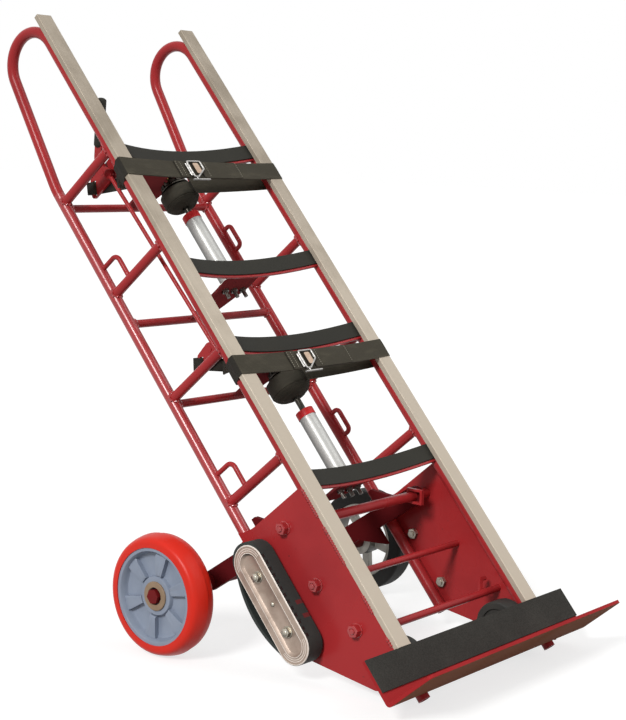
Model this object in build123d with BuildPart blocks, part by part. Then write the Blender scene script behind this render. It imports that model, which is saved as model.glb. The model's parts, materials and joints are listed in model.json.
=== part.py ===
from build123d import *
from math import atan2, cos, degrees, radians, sin
import os

os.makedirs("parts", exist_ok=True)

# Driving dimensions in millimetres and degrees.
# Heights are measured up the rails from the heel of the toe plate, depths forward from the rails' front face.
lean = 48.8

rail_spacing = 397.0
rail_top = 1486.0
strip_width = 36.0
strip_thickness = 10.0
strip_round = 1.2

tube_diameter = 22.2
tube_wall = 2.4
frame_depth = 169.0
foot_drop = 7.0
handle_height = 1432.0
handle_radius = 63.5
handle_flare = 10.2
flare_bend_radius = 150.0
rear_tube_bottom = 165.0
weld_gap = 0.2

strut_levels = (1170.0, 948.0, 708.0, 480.0)
strut_diameter = 19.0
strut_wall = 2.0
cross_tube_levels = (1158.0, 881.0, 698.0)
cross_tube_diameter = 15.9

crossbar_levels = (1162.0, 890.0, 711.5, 422.0)
crossbar_height = 38.0
crossbar_thickness = 5.0
crossbar_setback = 15.0
crossbar_bow = 25.0
pad_height = 33.0
pad_thickness = 3.0

rod_diameter = 9.5
rod_bend_radius = 14.0
left_loop_rise = 58.0
left_loop_reach = 55.0
right_loop_rise = 115.0
right_loop_length = 52.0
right_loop_reach = 28.0

toe_width = 610.0
toe_depth = 97.5
toe_thickness = 6.0
toe_bend_radius = 8.0
toe_corner_radius = 9.0
flange_height = 85.0
grip_strip_bottom = 26.0
grip_strip_thickness = 3.0

plate_thickness = 6.0
plate_rise = 38.0
plate_shoulder_depth = 145.0
plate_tail_rise = 11.0
plate_chin_height = 50.0
plate_chin_depth = 90.0

pivot_height = 372.0
pivot_depth = 89.0
pivot_rod_diameter = 12.7
pivot_tube_diameter = 19.0
mid_rod_height = 256.0
mid_rod_depth = 88.0
mid_rod_diameter = 12.7
lower_rod_rise = 67.0
lower_rod_depth = 60.0
lower_rod_diameter = 14.0
lower_tab_start = 150.0
lower_tab_lean = 26.0
lower_tab_end = 192.0
lower_tab_height = 26.0
lower_tab_width = 7.0
lower_tab_thickness = 5.0
hex_width = 21.0
hex_height = 15.0

axle_height = 401.0
axle_depth = 344.0
axle_diameter = 20.0
axle_nut_width = 24.0
axle_nut_height = 8.0
arm_thickness = 10.0
arm_height = 36.0
arm_offset = 167.5
arm_ear_rise = 65.0
arm_ear_depth = 171.0
arm_ear_width = 9.0
arm_ear_ramp = 54.0
arm_heel_drop = 42.0
arm_heel_depth = 204.0
arm_heel_ramp = 72.0
pivot_tube_gap = 0.5
release_loop_x = 155.0
release_loop_width = 8.0
release_loop_length = 36.0
release_loop_height = 29.0
release_loop_bar = 4.5
release_loop_advance = 10.0
release_loop_rise = 2.0

wheel_diameter = 208.0
wheel_width = 51.0
wheel_inner_face = 277.0
tread_thickness = 14.0
tread_round = 7.0
tyre_thickness = 27.0
hub_inset = 2.0
hub_rim_thickness = 8.0
hub_web_thickness = 14.0
hub_boss_radius = 36.0
hub_boss_inset = 10.0
bearing_radius = 28.0
bearing_bore_radius = 15.5
bearing_rise = 3.0
hub_rib_count = 6
hub_rib_width = 17.0
hub_rib_taper = 7.0
hub_rib_rise = 9.0
spoke_count = 5
spoke_width = 15.0
spoke_boss_radius = 29.0
hub_side_play = 0.5
sleeve_diameter = 28.0

front_wheel_diameter = 90.0
front_wheel_width = 40.0
front_wheel_offset = 160.0
front_wheel_gap = 4.0
front_axle_diameter = 12.7
front_wheel_hub_radius = 14.0
front_wheel_tyre_radius = 32.0
front_wheel_recess = 4.0
front_wheel_round = 4.0

climber_height = 269.0
climber_depth = 165.0
climber_run = 161.0
climber_bolt_spacing = 110.0
climber_standoff = 6.4
belt_radius = 41.0
belt_thickness = 6.0
belt_width = 28.0
belt_sag = 13.0
cover_radius = 34.3
cover_thickness = 8.0
cover_ridge_radii = (34.3, 30.4, 20.6)
cover_ridge_width = 2.0
cover_ridge_height = 2.0
cover_recess_radius = 17.0
cover_recess_depth = 2.0
climber_bolt_diameter = 12.0
climber_head_diameter = 20.0
climber_head_height = 8.0
climber_head_taper = 20.0
rivet_diameter = 9.0
rivet_height = 4.0
rivet_taper = 25.0

strap_levels = (1104.5, 653.5)
strap_width = 40.0
strap_thickness = 2.5
strap_clearance = 0.3
strap_turn_overlap = 7.0
strap_turn_gap = 4.0
reel_depth = 88.0
roll_diameters = (76.0, 84.0)
reel_shaft_diameter = 12.0
roll_gap = 0.1
reel_plate_thickness = 5.0
reel_plate_left = 44.0
reel_plate_right = 40.0
reel_plate_tail = 6.0
reel_plate_reach = 130.0
last_reel_plate_rise = 51.0
shaft_tail = 50.0
ratchet_radius = 27.0
ratchet_teeth = 12
ratchet_tooth_depth = 4.0
ratchet_tooth_lean = 35.0
ratchet_thickness = 6.0
ratchet_gap = 6.0
shaft_head_diameter = 18.0
shaft_head_height = 3.0
shaft_head_gap = 0.3
roll_flange_diameter = 60.0
roll_flange_thickness = 2.5
spring_tube_diameter = 34.0
spring_tube_wall = 2.5
spring_cap_diameter = 36.0
spring_cap_height = 14.0
spring_cap_tops = (1059.0, 590.0)
spring_base_diameter = 66.0
spring_base_thickness = 3.0
spring_bolt_diameter = 8.0
spring_bolt_length = 18.0
spring_bolt_head = 5.0
spring_bolt_width = 13.0
spring_bolt_offset = 25.0
pawl_pivot_x = -38.0
pawl_pivot_depth = 69.0
pawl_pin_diameter = 6.0
pawl_eye_radius = 7.0
pawl_tip_width = 3.0
pawl_clearance = 0.6
pawl_pin_tail = 2.0

buckle_wire = 4.0
buckle_stub = 3.0
buckle_left = -47.0
buckle_right = -10.0
buckle_neck = -37.0
buckle_top_rise = 15.0
buckle_slant_drop = 4.0
buckle_neck_drop = 23.0
buckle_corner_radius = 4.5
buckle_bar_x = -53.0
buckle_bar_rise = 9.0
buckle_bar_drop = 20.0
buckle_hook_left = -55.0
buckle_hook_right = -9.0
buckle_hook_drop = 29.5

crank_offset = 160.0
crank_thickness = 6.0
crank_pivot_rise = 69.5
crank_pivot_depth = 98.0
crank_spacing = 430.0
lower_crank_advance = 17.0
crank_pin_diameter = 10.0
crank_hub_radius = 13.0
crank_corner_radius = 6.0
crank_slot_drop = 11.0
crank_slot_setback = 34.0
crank_slot_width = 9.0
crank_slot_margin = 2.0
crank_bar_width = 6.0
link_drop = 19.0
link_advance = 19.0
link_pin_diameter = 8.0
link_rod_diameter = 8.0
link_rod_offset = 169.0
link_eye_radius = 9.0
lever_width = 18.0
lever_knee_rise = 29.0
lever_knee_depth = 90.0
lever_tip_rise = 110.0
lever_tip_depth = 12.0
lever_knee_radius = 12.0
tail_width = 24.0
tail_thickness = 4.0
tail_tuck = 4.0
tail_start_depth = 22.0
tail_start_rises = (-8.5, 10.0)
tail_turn_depth = 36.0
tail_pass_depth = 52.0
tail_cross_depth = 66.0
tail_gap = 1.0
grip_length = 96.0
grip_diameter = 20.0
grip_cap = 4.0
grip_rib_pitch = 9.0
grip_groove_width = 2.5
grip_groove_depth = 1.2
bracket_thickness = 5.0
bracket_height = 40.0
bracket_reach = 112.0
bracket_bend_radius = 6.0
bracket_gap = 12.0
crank_pin_tail = 1.0

running_clearance = 0.05

# Values worked out from the driving dimensions
tube_radius = tube_diameter / 2
front_n = -strip_thickness - tube_radius
rear_n = front_n - frame_depth
rail_x = rail_spacing / 2
cross_tube_radius = cross_tube_diameter / 2
wheel_radius = wheel_diameter / 2
front_wheel_radius = front_wheel_diameter / 2
plate_inner = rail_x + tube_radius + weld_gap
plate_outer = plate_inner + plate_thickness
plate_top = pivot_height + plate_rise
last_reel_plate_level = pivot_height + last_reel_plate_rise
up = sin(radians(lean))
along = cos(radians(lean))
sides = {"left": -1, "right": 1}
reels = ("upper", "lower")

# The heel stands where the rear wheels and the front wheels both touch the floor,
# and where the truck's box is centred on the origin.
heel_z = wheel_radius - (axle_height * up - axle_depth * along)
rearmost = handle_height * along - (front_n - handle_radius) * up + handle_radius + tube_radius
foremost = -toe_depth * up
heel_y = -(rearmost + foremost) / 2
front_wheel_n = -strip_thickness - front_wheel_gap - front_wheel_radius
front_wheel_s = (front_wheel_radius - heel_z - front_wheel_n * along) / up
lower_rod_height = front_wheel_s + lower_rod_rise

across = Vector(1, 0, 0)
rail_up = Vector(0, along, up)
forward = Vector(0, -up, along)
heel = Vector(0, heel_y, heel_z)


def side(x):
    """Plane facing right at x, with its axes up the rails and forward."""
    return Plane(origin=heel + across * x, x_dir=rail_up, z_dir=across)


def level(s):
    """Plane facing down the rails at height s, with its axes right and forward."""
    return Plane(origin=heel + rail_up * s, x_dir=across, z_dir=rail_up * -1)


def face(n):
    """Plane facing forward at depth n, with its axes right and up the rails."""
    return Plane(origin=heel + forward * n, x_dir=across, z_dir=forward)


def save(part, name):
    part.label = name
    export_step(part, "parts/" + name + ".step")


def tube(x, n, low, high, outer, wall):
    """Round tube up the rails."""
    with BuildPart() as piece:
        with BuildSketch(level(high)):
            with Locations((x, n)):
                Circle(outer / 2)
                Circle(outer / 2 - wall, mode=Mode.SUBTRACT)
        extrude(amount=high - low)
    return piece.part


# Bent side tubes: a straight front leg, a handle loop with a flared leg, and a straight rear leg
flare_sine = sin(radians(handle_flare))
flare_cosine = cos(radians(handle_flare))
flare_start_n = front_n - handle_radius * (1 + flare_cosine)
flare_length = (flare_start_n - rear_n - flare_bend_radius * (1 - flare_cosine)) / flare_sine
rear_tube_top = (handle_height + handle_radius * flare_sine
                 - flare_length * flare_cosine - flare_bend_radius * flare_sine)

for hand, sign in sides.items():
    save(tube(sign * rail_x, front_n, -foot_drop, handle_height, tube_diameter, tube_wall),
         hand + "_front_tube")
    save(tube(sign * rail_x, rear_n, rear_tube_bottom, rear_tube_top, tube_diameter, tube_wall),
         hand + "_rear_tube")
    with BuildPart() as handle:
        with BuildLine(side(sign * rail_x)) as bend:
            loop = JernArc((handle_height, front_n), (1, 0), handle_radius, handle_flare - 180)
            leg = PolarLine(loop @ 1, flare_length, 180 + handle_flare)
            JernArc(leg @ 1, (-flare_cosine, -flare_sine), flare_bend_radius, -handle_flare)
        with BuildSketch(level(handle_height)):
            with Locations((sign * rail_x, front_n)):
                Circle(tube_radius)
                Circle(tube_radius - tube_wall, mode=Mode.SUBTRACT)
        sweep(path=bend.line)
    save(handle.part, hand + "_handle")

# Aluminium strips along the front of the rails
for hand, sign in sides.items():
    with BuildPart() as strip:
        with BuildSketch(level(rail_top)):
            with Locations((sign * rail_x, -strip_thickness / 2)):
                Rectangle(strip_width, strip_thickness)
        extrude(amount=rail_top - flange_height)
        strip_front = strip.faces().sort_by(Axis(heel, forward))[-1]
        fillet(strip_front.edges().filter_by(Axis(heel, rail_up)), strip_round)
    save(strip.part, hand + "_rail_strip")

# Side struts between the front and rear tubes, coped to both
with BuildPart() as struts:
    with BuildSketch(face(front_n)):
        for sign in sides.values():
            with Locations(*[(sign * rail_x, s) for s in strut_levels]):
                Circle(strut_diameter / 2)
                Circle(strut_diameter / 2 - strut_wall, mode=Mode.SUBTRACT)
    extrude(amount=-frame_depth)
    with BuildSketch(level(handle_height)):
        with GridLocations(rail_spacing, 0, 2, 1):
            with Locations((0, front_n), (0, rear_n)):
                Circle(tube_radius + weld_gap)
    extrude(amount=handle_height, mode=Mode.SUBTRACT)
save(struts.part, "struts")

# Rear cross tubes between the rear tubes, coped to them
with BuildPart() as cross_tubes:
    with BuildSketch(side(-rail_x)):
        with Locations(*[(s, rear_n) for s in cross_tube_levels]):
            Circle(cross_tube_radius)
            Circle(cross_tube_radius - strut_wall, mode=Mode.SUBTRACT)
    extrude(amount=rail_spacing)
    with BuildSketch(level(rear_tube_top)):
        with GridLocations(rail_spacing, 0, 2, 1):
            with Locations((0, rear_n)):
                Circle(tube_radius + weld_gap)
    extrude(amount=rear_tube_top, mode=Mode.SUBTRACT)
save(cross_tubes.part, "rear_cross_tubes")

# Curved crossbars between the front tubes, bowed to the rear, each with a black pad on its front
crossbar_half = rail_x - tube_radius - weld_gap
bow_radius = (crossbar_half ** 2 + crossbar_bow ** 2) / (2 * crossbar_bow)


def bowed_band(top, height, radius, thickness):
    """Band bowed to the rear between the rails, hung down from height top, with the given inner radius."""
    with BuildPart() as band:
        with BuildSketch(level(top)):
            with Locations((0, bow_radius - crossbar_setback - crossbar_bow)):
                Circle(radius + thickness)
                Circle(radius, mode=Mode.SUBTRACT)
            with Locations((0, -crossbar_setback - crossbar_bow)):
                Rectangle(2 * crossbar_half, 4 * crossbar_bow, mode=Mode.INTERSECT)
        extrude(amount=height)
    return band.part


crossbars = Part() + [bowed_band(s + crossbar_height / 2, crossbar_height, bow_radius, crossbar_thickness)
                      for s in crossbar_levels]
save(crossbars, "crossbars")
pads = Part() + [bowed_band(s + crossbar_height / 2, pad_height, bow_radius - pad_thickness, pad_thickness)
                 for s in crossbar_levels]
save(pads, "crossbar_pads")

# Bent-rod loops: on the left between the rear tube and a strut, on the right along the rear tube
loop_struts = (strut_levels[1], strut_levels[3])
rod_loops = Part()
for strut in loop_struts:
    with BuildPart() as left_loop:
        with BuildLine(side(-rail_x)) as bent_rod:
            FilletPolyline((strut + left_loop_rise, rear_n),
                           (strut + left_loop_rise, rear_n + left_loop_reach),
                           (strut, rear_n + left_loop_reach), radius=rod_bend_radius)
        with BuildSketch(face(rear_n)):
            with Locations((-rail_x, strut + left_loop_rise)):
                Circle(rod_diameter / 2)
        sweep(path=bent_rod.line)
        with BuildSketch(level(rear_tube_top)):
            with Locations((-rail_x, rear_n)):
                Circle(tube_radius + weld_gap)
        extrude(amount=rear_tube_top, mode=Mode.SUBTRACT)
        with BuildSketch(face(front_n)):
            with Locations((-rail_x, strut)):
                Circle(strut_diameter / 2 + weld_gap)
        extrude(amount=-frame_depth, mode=Mode.SUBTRACT)
    rod_loops += left_loop.part
    low = strut + right_loop_rise - right_loop_length / 2
    high = strut + right_loop_rise + right_loop_length / 2
    with BuildPart() as right_loop:
        with BuildLine(side(rail_x)) as bent_rod:
            FilletPolyline((high, rear_n), (high, rear_n + right_loop_reach),
                           (low, rear_n + right_loop_reach), (low, rear_n), radius=rod_diameter)
        with BuildSketch(face(rear_n)):
            with Locations((rail_x, high)):
                Circle(rod_diameter / 2)
        sweep(path=bent_rod.line)
        with BuildSketch(level(rear_tube_top)):
            with Locations((rail_x, rear_n)):
                Circle(tube_radius + weld_gap)
        extrude(amount=rear_tube_top, mode=Mode.SUBTRACT)
    rod_loops += right_loop.part
save(rod_loops, "rod_loops")

# Toe plate: a bent plate with a flange across the rails, and a rubber grip strip on the flange
toe_rear = -strip_thickness
flange_front = toe_rear + toe_thickness
with BuildPart() as toe:
    with BuildSketch(side(-toe_width / 2)):
        with BuildLine():
            Polyline((0, toe_depth), (toe_thickness, toe_depth), (toe_thickness, flange_front),
                     (flange_height, flange_front), (flange_height, toe_rear), (0, toe_rear), close=True)
        make_face()
    extrude(amount=toe_width)
    cross_edges = toe.edges().filter_by(Axis(heel, across))
    heel_edge = cross_edges.sort_by_distance(heel + forward * toe_rear)[0]
    fillet(heel_edge, toe_bend_radius)
    inner_edge = toe.edges().filter_by(Axis(heel, across)).sort_by_distance(
        heel + rail_up * toe_thickness + forward * flange_front)[0]
    fillet(inner_edge, toe_bend_radius - toe_thickness)
    fillet(toe.edges().filter_by(Axis(heel, rail_up)).sort_by(Axis(heel, forward))[-2:], toe_corner_radius)
save(toe.part, "toe_plate")

with BuildPart() as grip_strip:
    with BuildSketch(face(flange_front)):
        with Locations((0, (grip_strip_bottom + flange_height) / 2)):
            Rectangle(toe_width, flange_height - grip_strip_bottom)
    extrude(amount=grip_strip_thickness)
save(grip_strip.part, "grip_strip")

# Side plates on the outside of the tubes, carrying the cross rods, the front axle and the stair climbers
plate_front = -strip_thickness - weld_gap
plate_rear = rear_n
climber_bolts = [(climber_height + step * climber_bolt_spacing / 2, -climber_depth) for step in (1, -1)]
rods = {"pivot_rod": (pivot_height, -pivot_depth, pivot_rod_diameter),
        "mid_rod": (mid_rod_height, -mid_rod_depth, mid_rod_diameter),
        "lower_rod": (lower_rod_height, -lower_rod_depth, lower_rod_diameter),
        "front_axle": (front_wheel_s, front_wheel_n, front_axle_diameter)}
for hand, sign in sides.items():
    with BuildPart() as plate:
        with BuildSketch(side(sign * plate_inner)):
            with BuildLine():
                edge = Polyline((plate_top, plate_front), (plate_top, -plate_shoulder_depth))
                TangentArc(edge @ 1, (plate_top + plate_tail_rise, plate_rear), tangent=edge % 1)
                Polyline((plate_top + plate_tail_rise, plate_rear), (rear_tube_bottom, plate_rear),
                         (plate_chin_height, -plate_chin_depth), (0, plate_front), (plate_top, plate_front))
            make_face()
            for s, n, diameter in rods.values():
                with Locations((s, n)):
                    Circle(diameter / 2, mode=Mode.SUBTRACT)
            with Locations(*climber_bolts):
                Circle(climber_bolt_diameter / 2, mode=Mode.SUBTRACT)
        extrude(amount=sign * plate_thickness)
    save(plate.part, hand + "_side_plate")

# Cross rods through the side plates, with hex heads outside
for name, (s, n, diameter) in rods.items():
    with BuildPart() as rod:
        with BuildSketch(side(-plate_outer)):
            with Locations((s, n)):
                Circle(diameter / 2)
        extrude(amount=2 * plate_outer)
        if name == "lower_rod":
            with BuildSketch(face(n + lower_tab_thickness / 2)):
                with BuildLine():
                    Polyline((lower_tab_start, s), (lower_tab_start + lower_tab_lean, s + lower_tab_height),
                             (lower_tab_end, s + lower_tab_height))
                trace(line_width=lower_tab_width)
            extrude(amount=-lower_tab_thickness)
    save(rod.part, name)

with BuildPart() as plate_bolts:
    for sign in sides.values():
        with BuildSketch(side(sign * plate_outer)):
            with Locations(*[(s, n) for s, n, diameter in rods.values()]):
                RegularPolygon(hex_width / 2, 6, major_radius=False)
        extrude(amount=sign * hex_height)
save(plate_bolts.part, "plate_bolts")

# Stair climbers: a belt round a slide block, slack on its rear run, behind a ridged cast cover
belt_inner = plate_outer + climber_standoff
cover_inner = belt_inner + belt_width + strap_clearance
core_radius = belt_radius - belt_thickness - strap_clearance


def stadium(radius, mode=Mode.ADD):
    """Stadium outline of a climber, in a side plane."""
    with Locations((climber_height, -climber_depth)):
        SlotCenterToCenter(climber_run, radius * 2, mode=mode)


def slack_stadium(radius, mode=Mode.ADD):
    """Stadium outline of a climber whose rear run hangs out in a bow, in a side plane."""
    stadium(radius, mode)
    run_n = -climber_depth - radius
    with BuildLine() as slack:
        bow = ThreePointArc((climber_height - climber_run / 2, run_n), (climber_height, run_n - belt_sag),
                            (climber_height + climber_run / 2, run_n))
        Line(bow @ 1, bow @ 0)
    make_face(slack.edges(), mode=mode)


for hand, sign in sides.items():
    with BuildPart() as belt:
        with BuildSketch(side(sign * belt_inner)):
            slack_stadium(belt_radius)
            slack_stadium(belt_radius - belt_thickness, Mode.SUBTRACT)
        extrude(amount=sign * belt_width)
    save(belt.part, hand + "_climber_belt")
    with BuildPart() as cover:
        with BuildSketch(side(sign * cover_inner)):
            stadium(cover_radius)
            with Locations(*climber_bolts):
                Circle(climber_bolt_diameter / 2, mode=Mode.SUBTRACT)
        extrude(amount=sign * cover_thickness)
        with BuildSketch(side(sign * (cover_inner + cover_thickness))):
            for ridge in cover_ridge_radii:
                stadium(ridge)
                stadium(ridge - cover_ridge_width, Mode.SUBTRACT)
        extrude(amount=sign * cover_ridge_height)
        with BuildSketch(side(sign * (cover_inner + cover_thickness))):
            stadium(cover_recess_radius)
        extrude(amount=-sign * cover_recess_depth, mode=Mode.SUBTRACT)
    save(cover.part, hand + "_climber_cover")

with BuildPart() as cores:
    for sign in sides.values():
        with BuildSketch(side(sign * belt_inner)):
            stadium(core_radius)
            with Locations(*climber_bolts):
                Circle(climber_bolt_diameter / 2, mode=Mode.SUBTRACT)
        extrude(amount=sign * belt_width)
        with BuildSketch(side(sign * plate_outer)):
            with Locations(*climber_bolts):
                Circle(climber_bolt_diameter)
                Circle(climber_bolt_diameter / 2, mode=Mode.SUBTRACT)
        extrude(amount=sign * climber_standoff)
save(cores.part, "climber_cores")

cover_outer = cover_inner + cover_thickness - cover_recess_depth
with BuildPart() as climber_fasteners:
    for sign in sides.values():
        with BuildSketch(side(sign * (plate_inner - climber_head_height))):
            with Locations(*climber_bolts):
                Circle(climber_bolt_diameter / 2)
        extrude(amount=sign * (cover_outer - plate_inner + climber_head_height))
        with BuildSketch(side(sign * cover_outer)):
            with Locations(*climber_bolts):
                Circle(climber_head_diameter / 2)
        extrude(amount=sign * climber_head_height, taper=climber_head_taper)
        with BuildSketch(side(sign * plate_inner)):
            with Locations(*climber_bolts):
                RegularPolygon(climber_head_diameter / 2, 6, major_radius=False)
        extrude(amount=-sign * climber_head_height)
        with BuildSketch(side(sign * cover_outer)):
            with Locations((climber_height, -climber_depth)):
                Circle(rivet_diameter / 2)
        extrude(amount=sign * rivet_height, taper=rivet_taper)
save(climber_fasteners.part, "climber_bolts")


# Rear carriage: a pivot tube on the pivot rod, an arm at each side and the axle at their ends
pivot = (pivot_height, -pivot_depth)
axle = (axle_height, -axle_depth)
arm_middle = ((pivot_height + axle_height) / 2, -(pivot_depth + axle_depth) / 2)
arm_slope = (axle_height - pivot_height) / (axle_depth - pivot_depth)
for hand, sign in sides.items():
    with BuildPart() as arm:
        with BuildSketch(side(sign * arm_offset)):
            SlotCenterPoint(arm_middle, axle, arm_height)
            ear_foot = pivot_height + arm_slope * (arm_ear_depth - pivot_depth)
            with BuildLine():
                Polyline((ear_foot, -arm_ear_depth + arm_ear_ramp),
                         (pivot_height + arm_ear_rise, -arm_ear_depth),
                         (pivot_height + arm_ear_rise, -arm_ear_depth - arm_ear_width),
                         (ear_foot, -arm_ear_depth - arm_ear_width), close=True)
            make_face()
            heel_foot = pivot_height + arm_slope * (arm_heel_depth - pivot_depth)
            with BuildLine():
                Polyline((heel_foot, -arm_heel_depth), (pivot_height - arm_heel_drop, -arm_heel_depth),
                         (heel_foot, -arm_heel_depth - arm_heel_ramp), close=True)
            make_face()
            with Locations(pivot):
                Circle(pivot_tube_diameter / 2 + weld_gap, mode=Mode.SUBTRACT)
            with Locations(axle):
                Circle(axle_diameter / 2 + weld_gap, mode=Mode.SUBTRACT)
        extrude(amount=sign * arm_thickness)
    save(arm.part, hand + "_arm")

pivot_tube_half = plate_inner - pivot_tube_gap
with BuildPart() as pivot_tube:
    with BuildSketch(side(release_loop_x)):
        with Locations((pivot_height, -pivot_depth)):
            with Locations(Location((release_loop_rise * up - release_loop_advance * along,
                                     release_loop_rise * along + release_loop_advance * up), -lean)):
                Rectangle(release_loop_length, release_loop_height)
                Rectangle(release_loop_length - 2 * release_loop_bar,
                          release_loop_height - 2 * release_loop_bar, mode=Mode.SUBTRACT)
    extrude(amount=release_loop_width)
    with BuildSketch(side(-pivot_tube_half)):
        with Locations(pivot):
            Circle(pivot_tube_diameter / 2)
    extrude(amount=2 * pivot_tube_half)
    with BuildSketch(side(-pivot_tube_half)):
        with Locations(pivot):
            Circle(pivot_rod_diameter / 2 + running_clearance)
    extrude(amount=2 * pivot_tube_half, mode=Mode.SUBTRACT)
save(pivot_tube.part, "pivot_tube")


def turned(s, n, outline):
    """Solid of revolution about the cross axis at (s, n), from (x, radius) points."""
    with BuildPart() as piece:
        with BuildSketch(level(s)):
            with BuildLine():
                Polyline(*[(x, n + radius) for x, radius in outline], close=True)
            make_face()
        revolve(axis=Axis(heel + rail_up * s + forward * n, across))
    return piece.part


arm_outer = arm_offset + arm_thickness
wheel_outer_face = wheel_inner_face + wheel_width
boss_inner = wheel_inner_face - hub_inset
boss_outer = wheel_outer_face - hub_boss_inset
sleeve_end = boss_inner - hub_side_play
nut_inner = boss_outer + hub_side_play
axle_end = nut_inner + axle_nut_height
axle_radius = axle_diameter / 2
with BuildPart() as carriage_axle:
    with BuildSketch(side(-axle_end)):
        with Locations(axle):
            Circle(axle_radius)
    extrude(amount=2 * axle_end)
    for sign in sides.values():
        with BuildSketch(side(sign * arm_outer)):
            with Locations(axle):
                Circle(sleeve_diameter / 2)
        extrude(amount=sign * (sleeve_end - arm_outer))
        with BuildSketch(side(sign * nut_inner)):
            with Locations(axle):
                RegularPolygon(axle_nut_width / 2, 6, major_radius=False)
        extrude(amount=sign * axle_nut_height)
save(carriage_axle.part, "carriage_axle")

# Main wheels: a poured tread on a ribbed plastic hub at the left,
# a rubber tyre on a spoked cast hub at the right
bore_radius = axle_radius + running_clearance
hub_radius = {"left": wheel_radius - tread_thickness, "right": wheel_radius - tyre_thickness}
ring_names = {"left": "left_wheel_tread", "right": "right_wheel_tyre"}
for hand, sign in sides.items():
    inner = sign * wheel_inner_face
    outer = sign * wheel_outer_face
    with BuildPart() as ring:
        add(turned(axle_height, -axle_depth, [(inner, hub_radius[hand]), (inner, wheel_radius),
                                              (outer, wheel_radius), (outer, hub_radius[hand])]))
        circles = ring.edges().filter_by(GeomType.CIRCLE)
        tread_middle = (hub_radius[hand] + wheel_radius) / 2
        fillet(circles.filter_by(lambda edge: edge.radius > tread_middle), tread_round)
    save(ring.part, ring_names[hand])

web_middle = (wheel_inner_face + wheel_outer_face) / 2
for hand, sign in sides.items():
    rim = hub_radius[hand]
    rim_inner = rim - hub_rim_thickness
    boss = {"left": hub_boss_radius, "right": spoke_boss_radius}[hand]
    edge_near = sign * (wheel_inner_face + hub_inset)
    edge_far = sign * (wheel_outer_face - hub_inset)
    web_near = sign * (web_middle - hub_web_thickness / 2)
    web_far = sign * (web_middle + hub_web_thickness / 2)
    with BuildPart() as hub:
        add(turned(axle_height, -axle_depth, [(edge_near, rim_inner), (edge_near, rim),
                                              (edge_far, rim), (edge_far, rim_inner)]))
        add(turned(axle_height, -axle_depth,
                   [(sign * boss_inner, bore_radius), (sign * boss_inner, boss), (sign * boss_outer, boss),
                    (sign * boss_outer, bore_radius)]))
        if hand == "left":
            add(turned(axle_height, -axle_depth, [(web_near, bore_radius), (web_near, rim_inner),
                                                  (web_far, rim_inner), (web_far, bore_radius)]))
            add(turned(axle_height, -axle_depth,
                       [(sign * boss_outer, bearing_bore_radius), (sign * boss_outer, bearing_radius),
                        (sign * (boss_outer + bearing_rise), bearing_radius),
                        (sign * (boss_outer + bearing_rise), bearing_bore_radius)]))
            rib_length = rim_inner - boss + hub_rim_thickness
            with BuildSketch(side(web_far)):
                with Locations(axle):
                    with PolarLocations((rim_inner + boss) / 2, hub_rib_count):
                        Trapezoid(hub_rib_width + hub_rib_taper, rib_length, 90 - hub_rib_taper, rotation=90)
            extrude(amount=sign * hub_rib_rise)
        else:
            with BuildSketch(side(web_near)):
                with Locations(axle):
                    with PolarLocations((rim_inner + boss) / 2, spoke_count):
                        Rectangle(rim_inner - boss + hub_rim_thickness, spoke_width)
            extrude(amount=sign * hub_web_thickness)
    save(hub.part, hand + "_wheel_hub")

# Front wheels on the front axle, just behind the toe plate
front_bore = front_axle_diameter / 2 + running_clearance
for hand, sign in sides.items():
    inner = sign * front_wheel_offset - front_wheel_width / 2
    outer = sign * front_wheel_offset + front_wheel_width / 2
    with BuildPart() as front_wheel:
        add(turned(front_wheel_s, front_wheel_n,
                   [(inner, front_bore), (inner, front_wheel_hub_radius),
                    (inner + front_wheel_recess, front_wheel_hub_radius),
                    (inner + front_wheel_recess, front_wheel_tyre_radius), (inner, front_wheel_tyre_radius),
                    (inner, front_wheel_radius), (outer, front_wheel_radius),
                    (outer, front_wheel_tyre_radius),
                    (outer - front_wheel_recess, front_wheel_tyre_radius),
                    (outer - front_wheel_recess, front_wheel_hub_radius),
                    (outer, front_wheel_hub_radius), (outer, front_bore)]))
        circles = front_wheel.edges().filter_by(GeomType.CIRCLE)
        tyre_middle = (front_wheel_tyre_radius + front_wheel_radius) / 2
        fillet(circles.filter_by(lambda edge: edge.radius > tyre_middle), front_wheel_round)
    save(front_wheel.part, hand + "_front_wheel")

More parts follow.
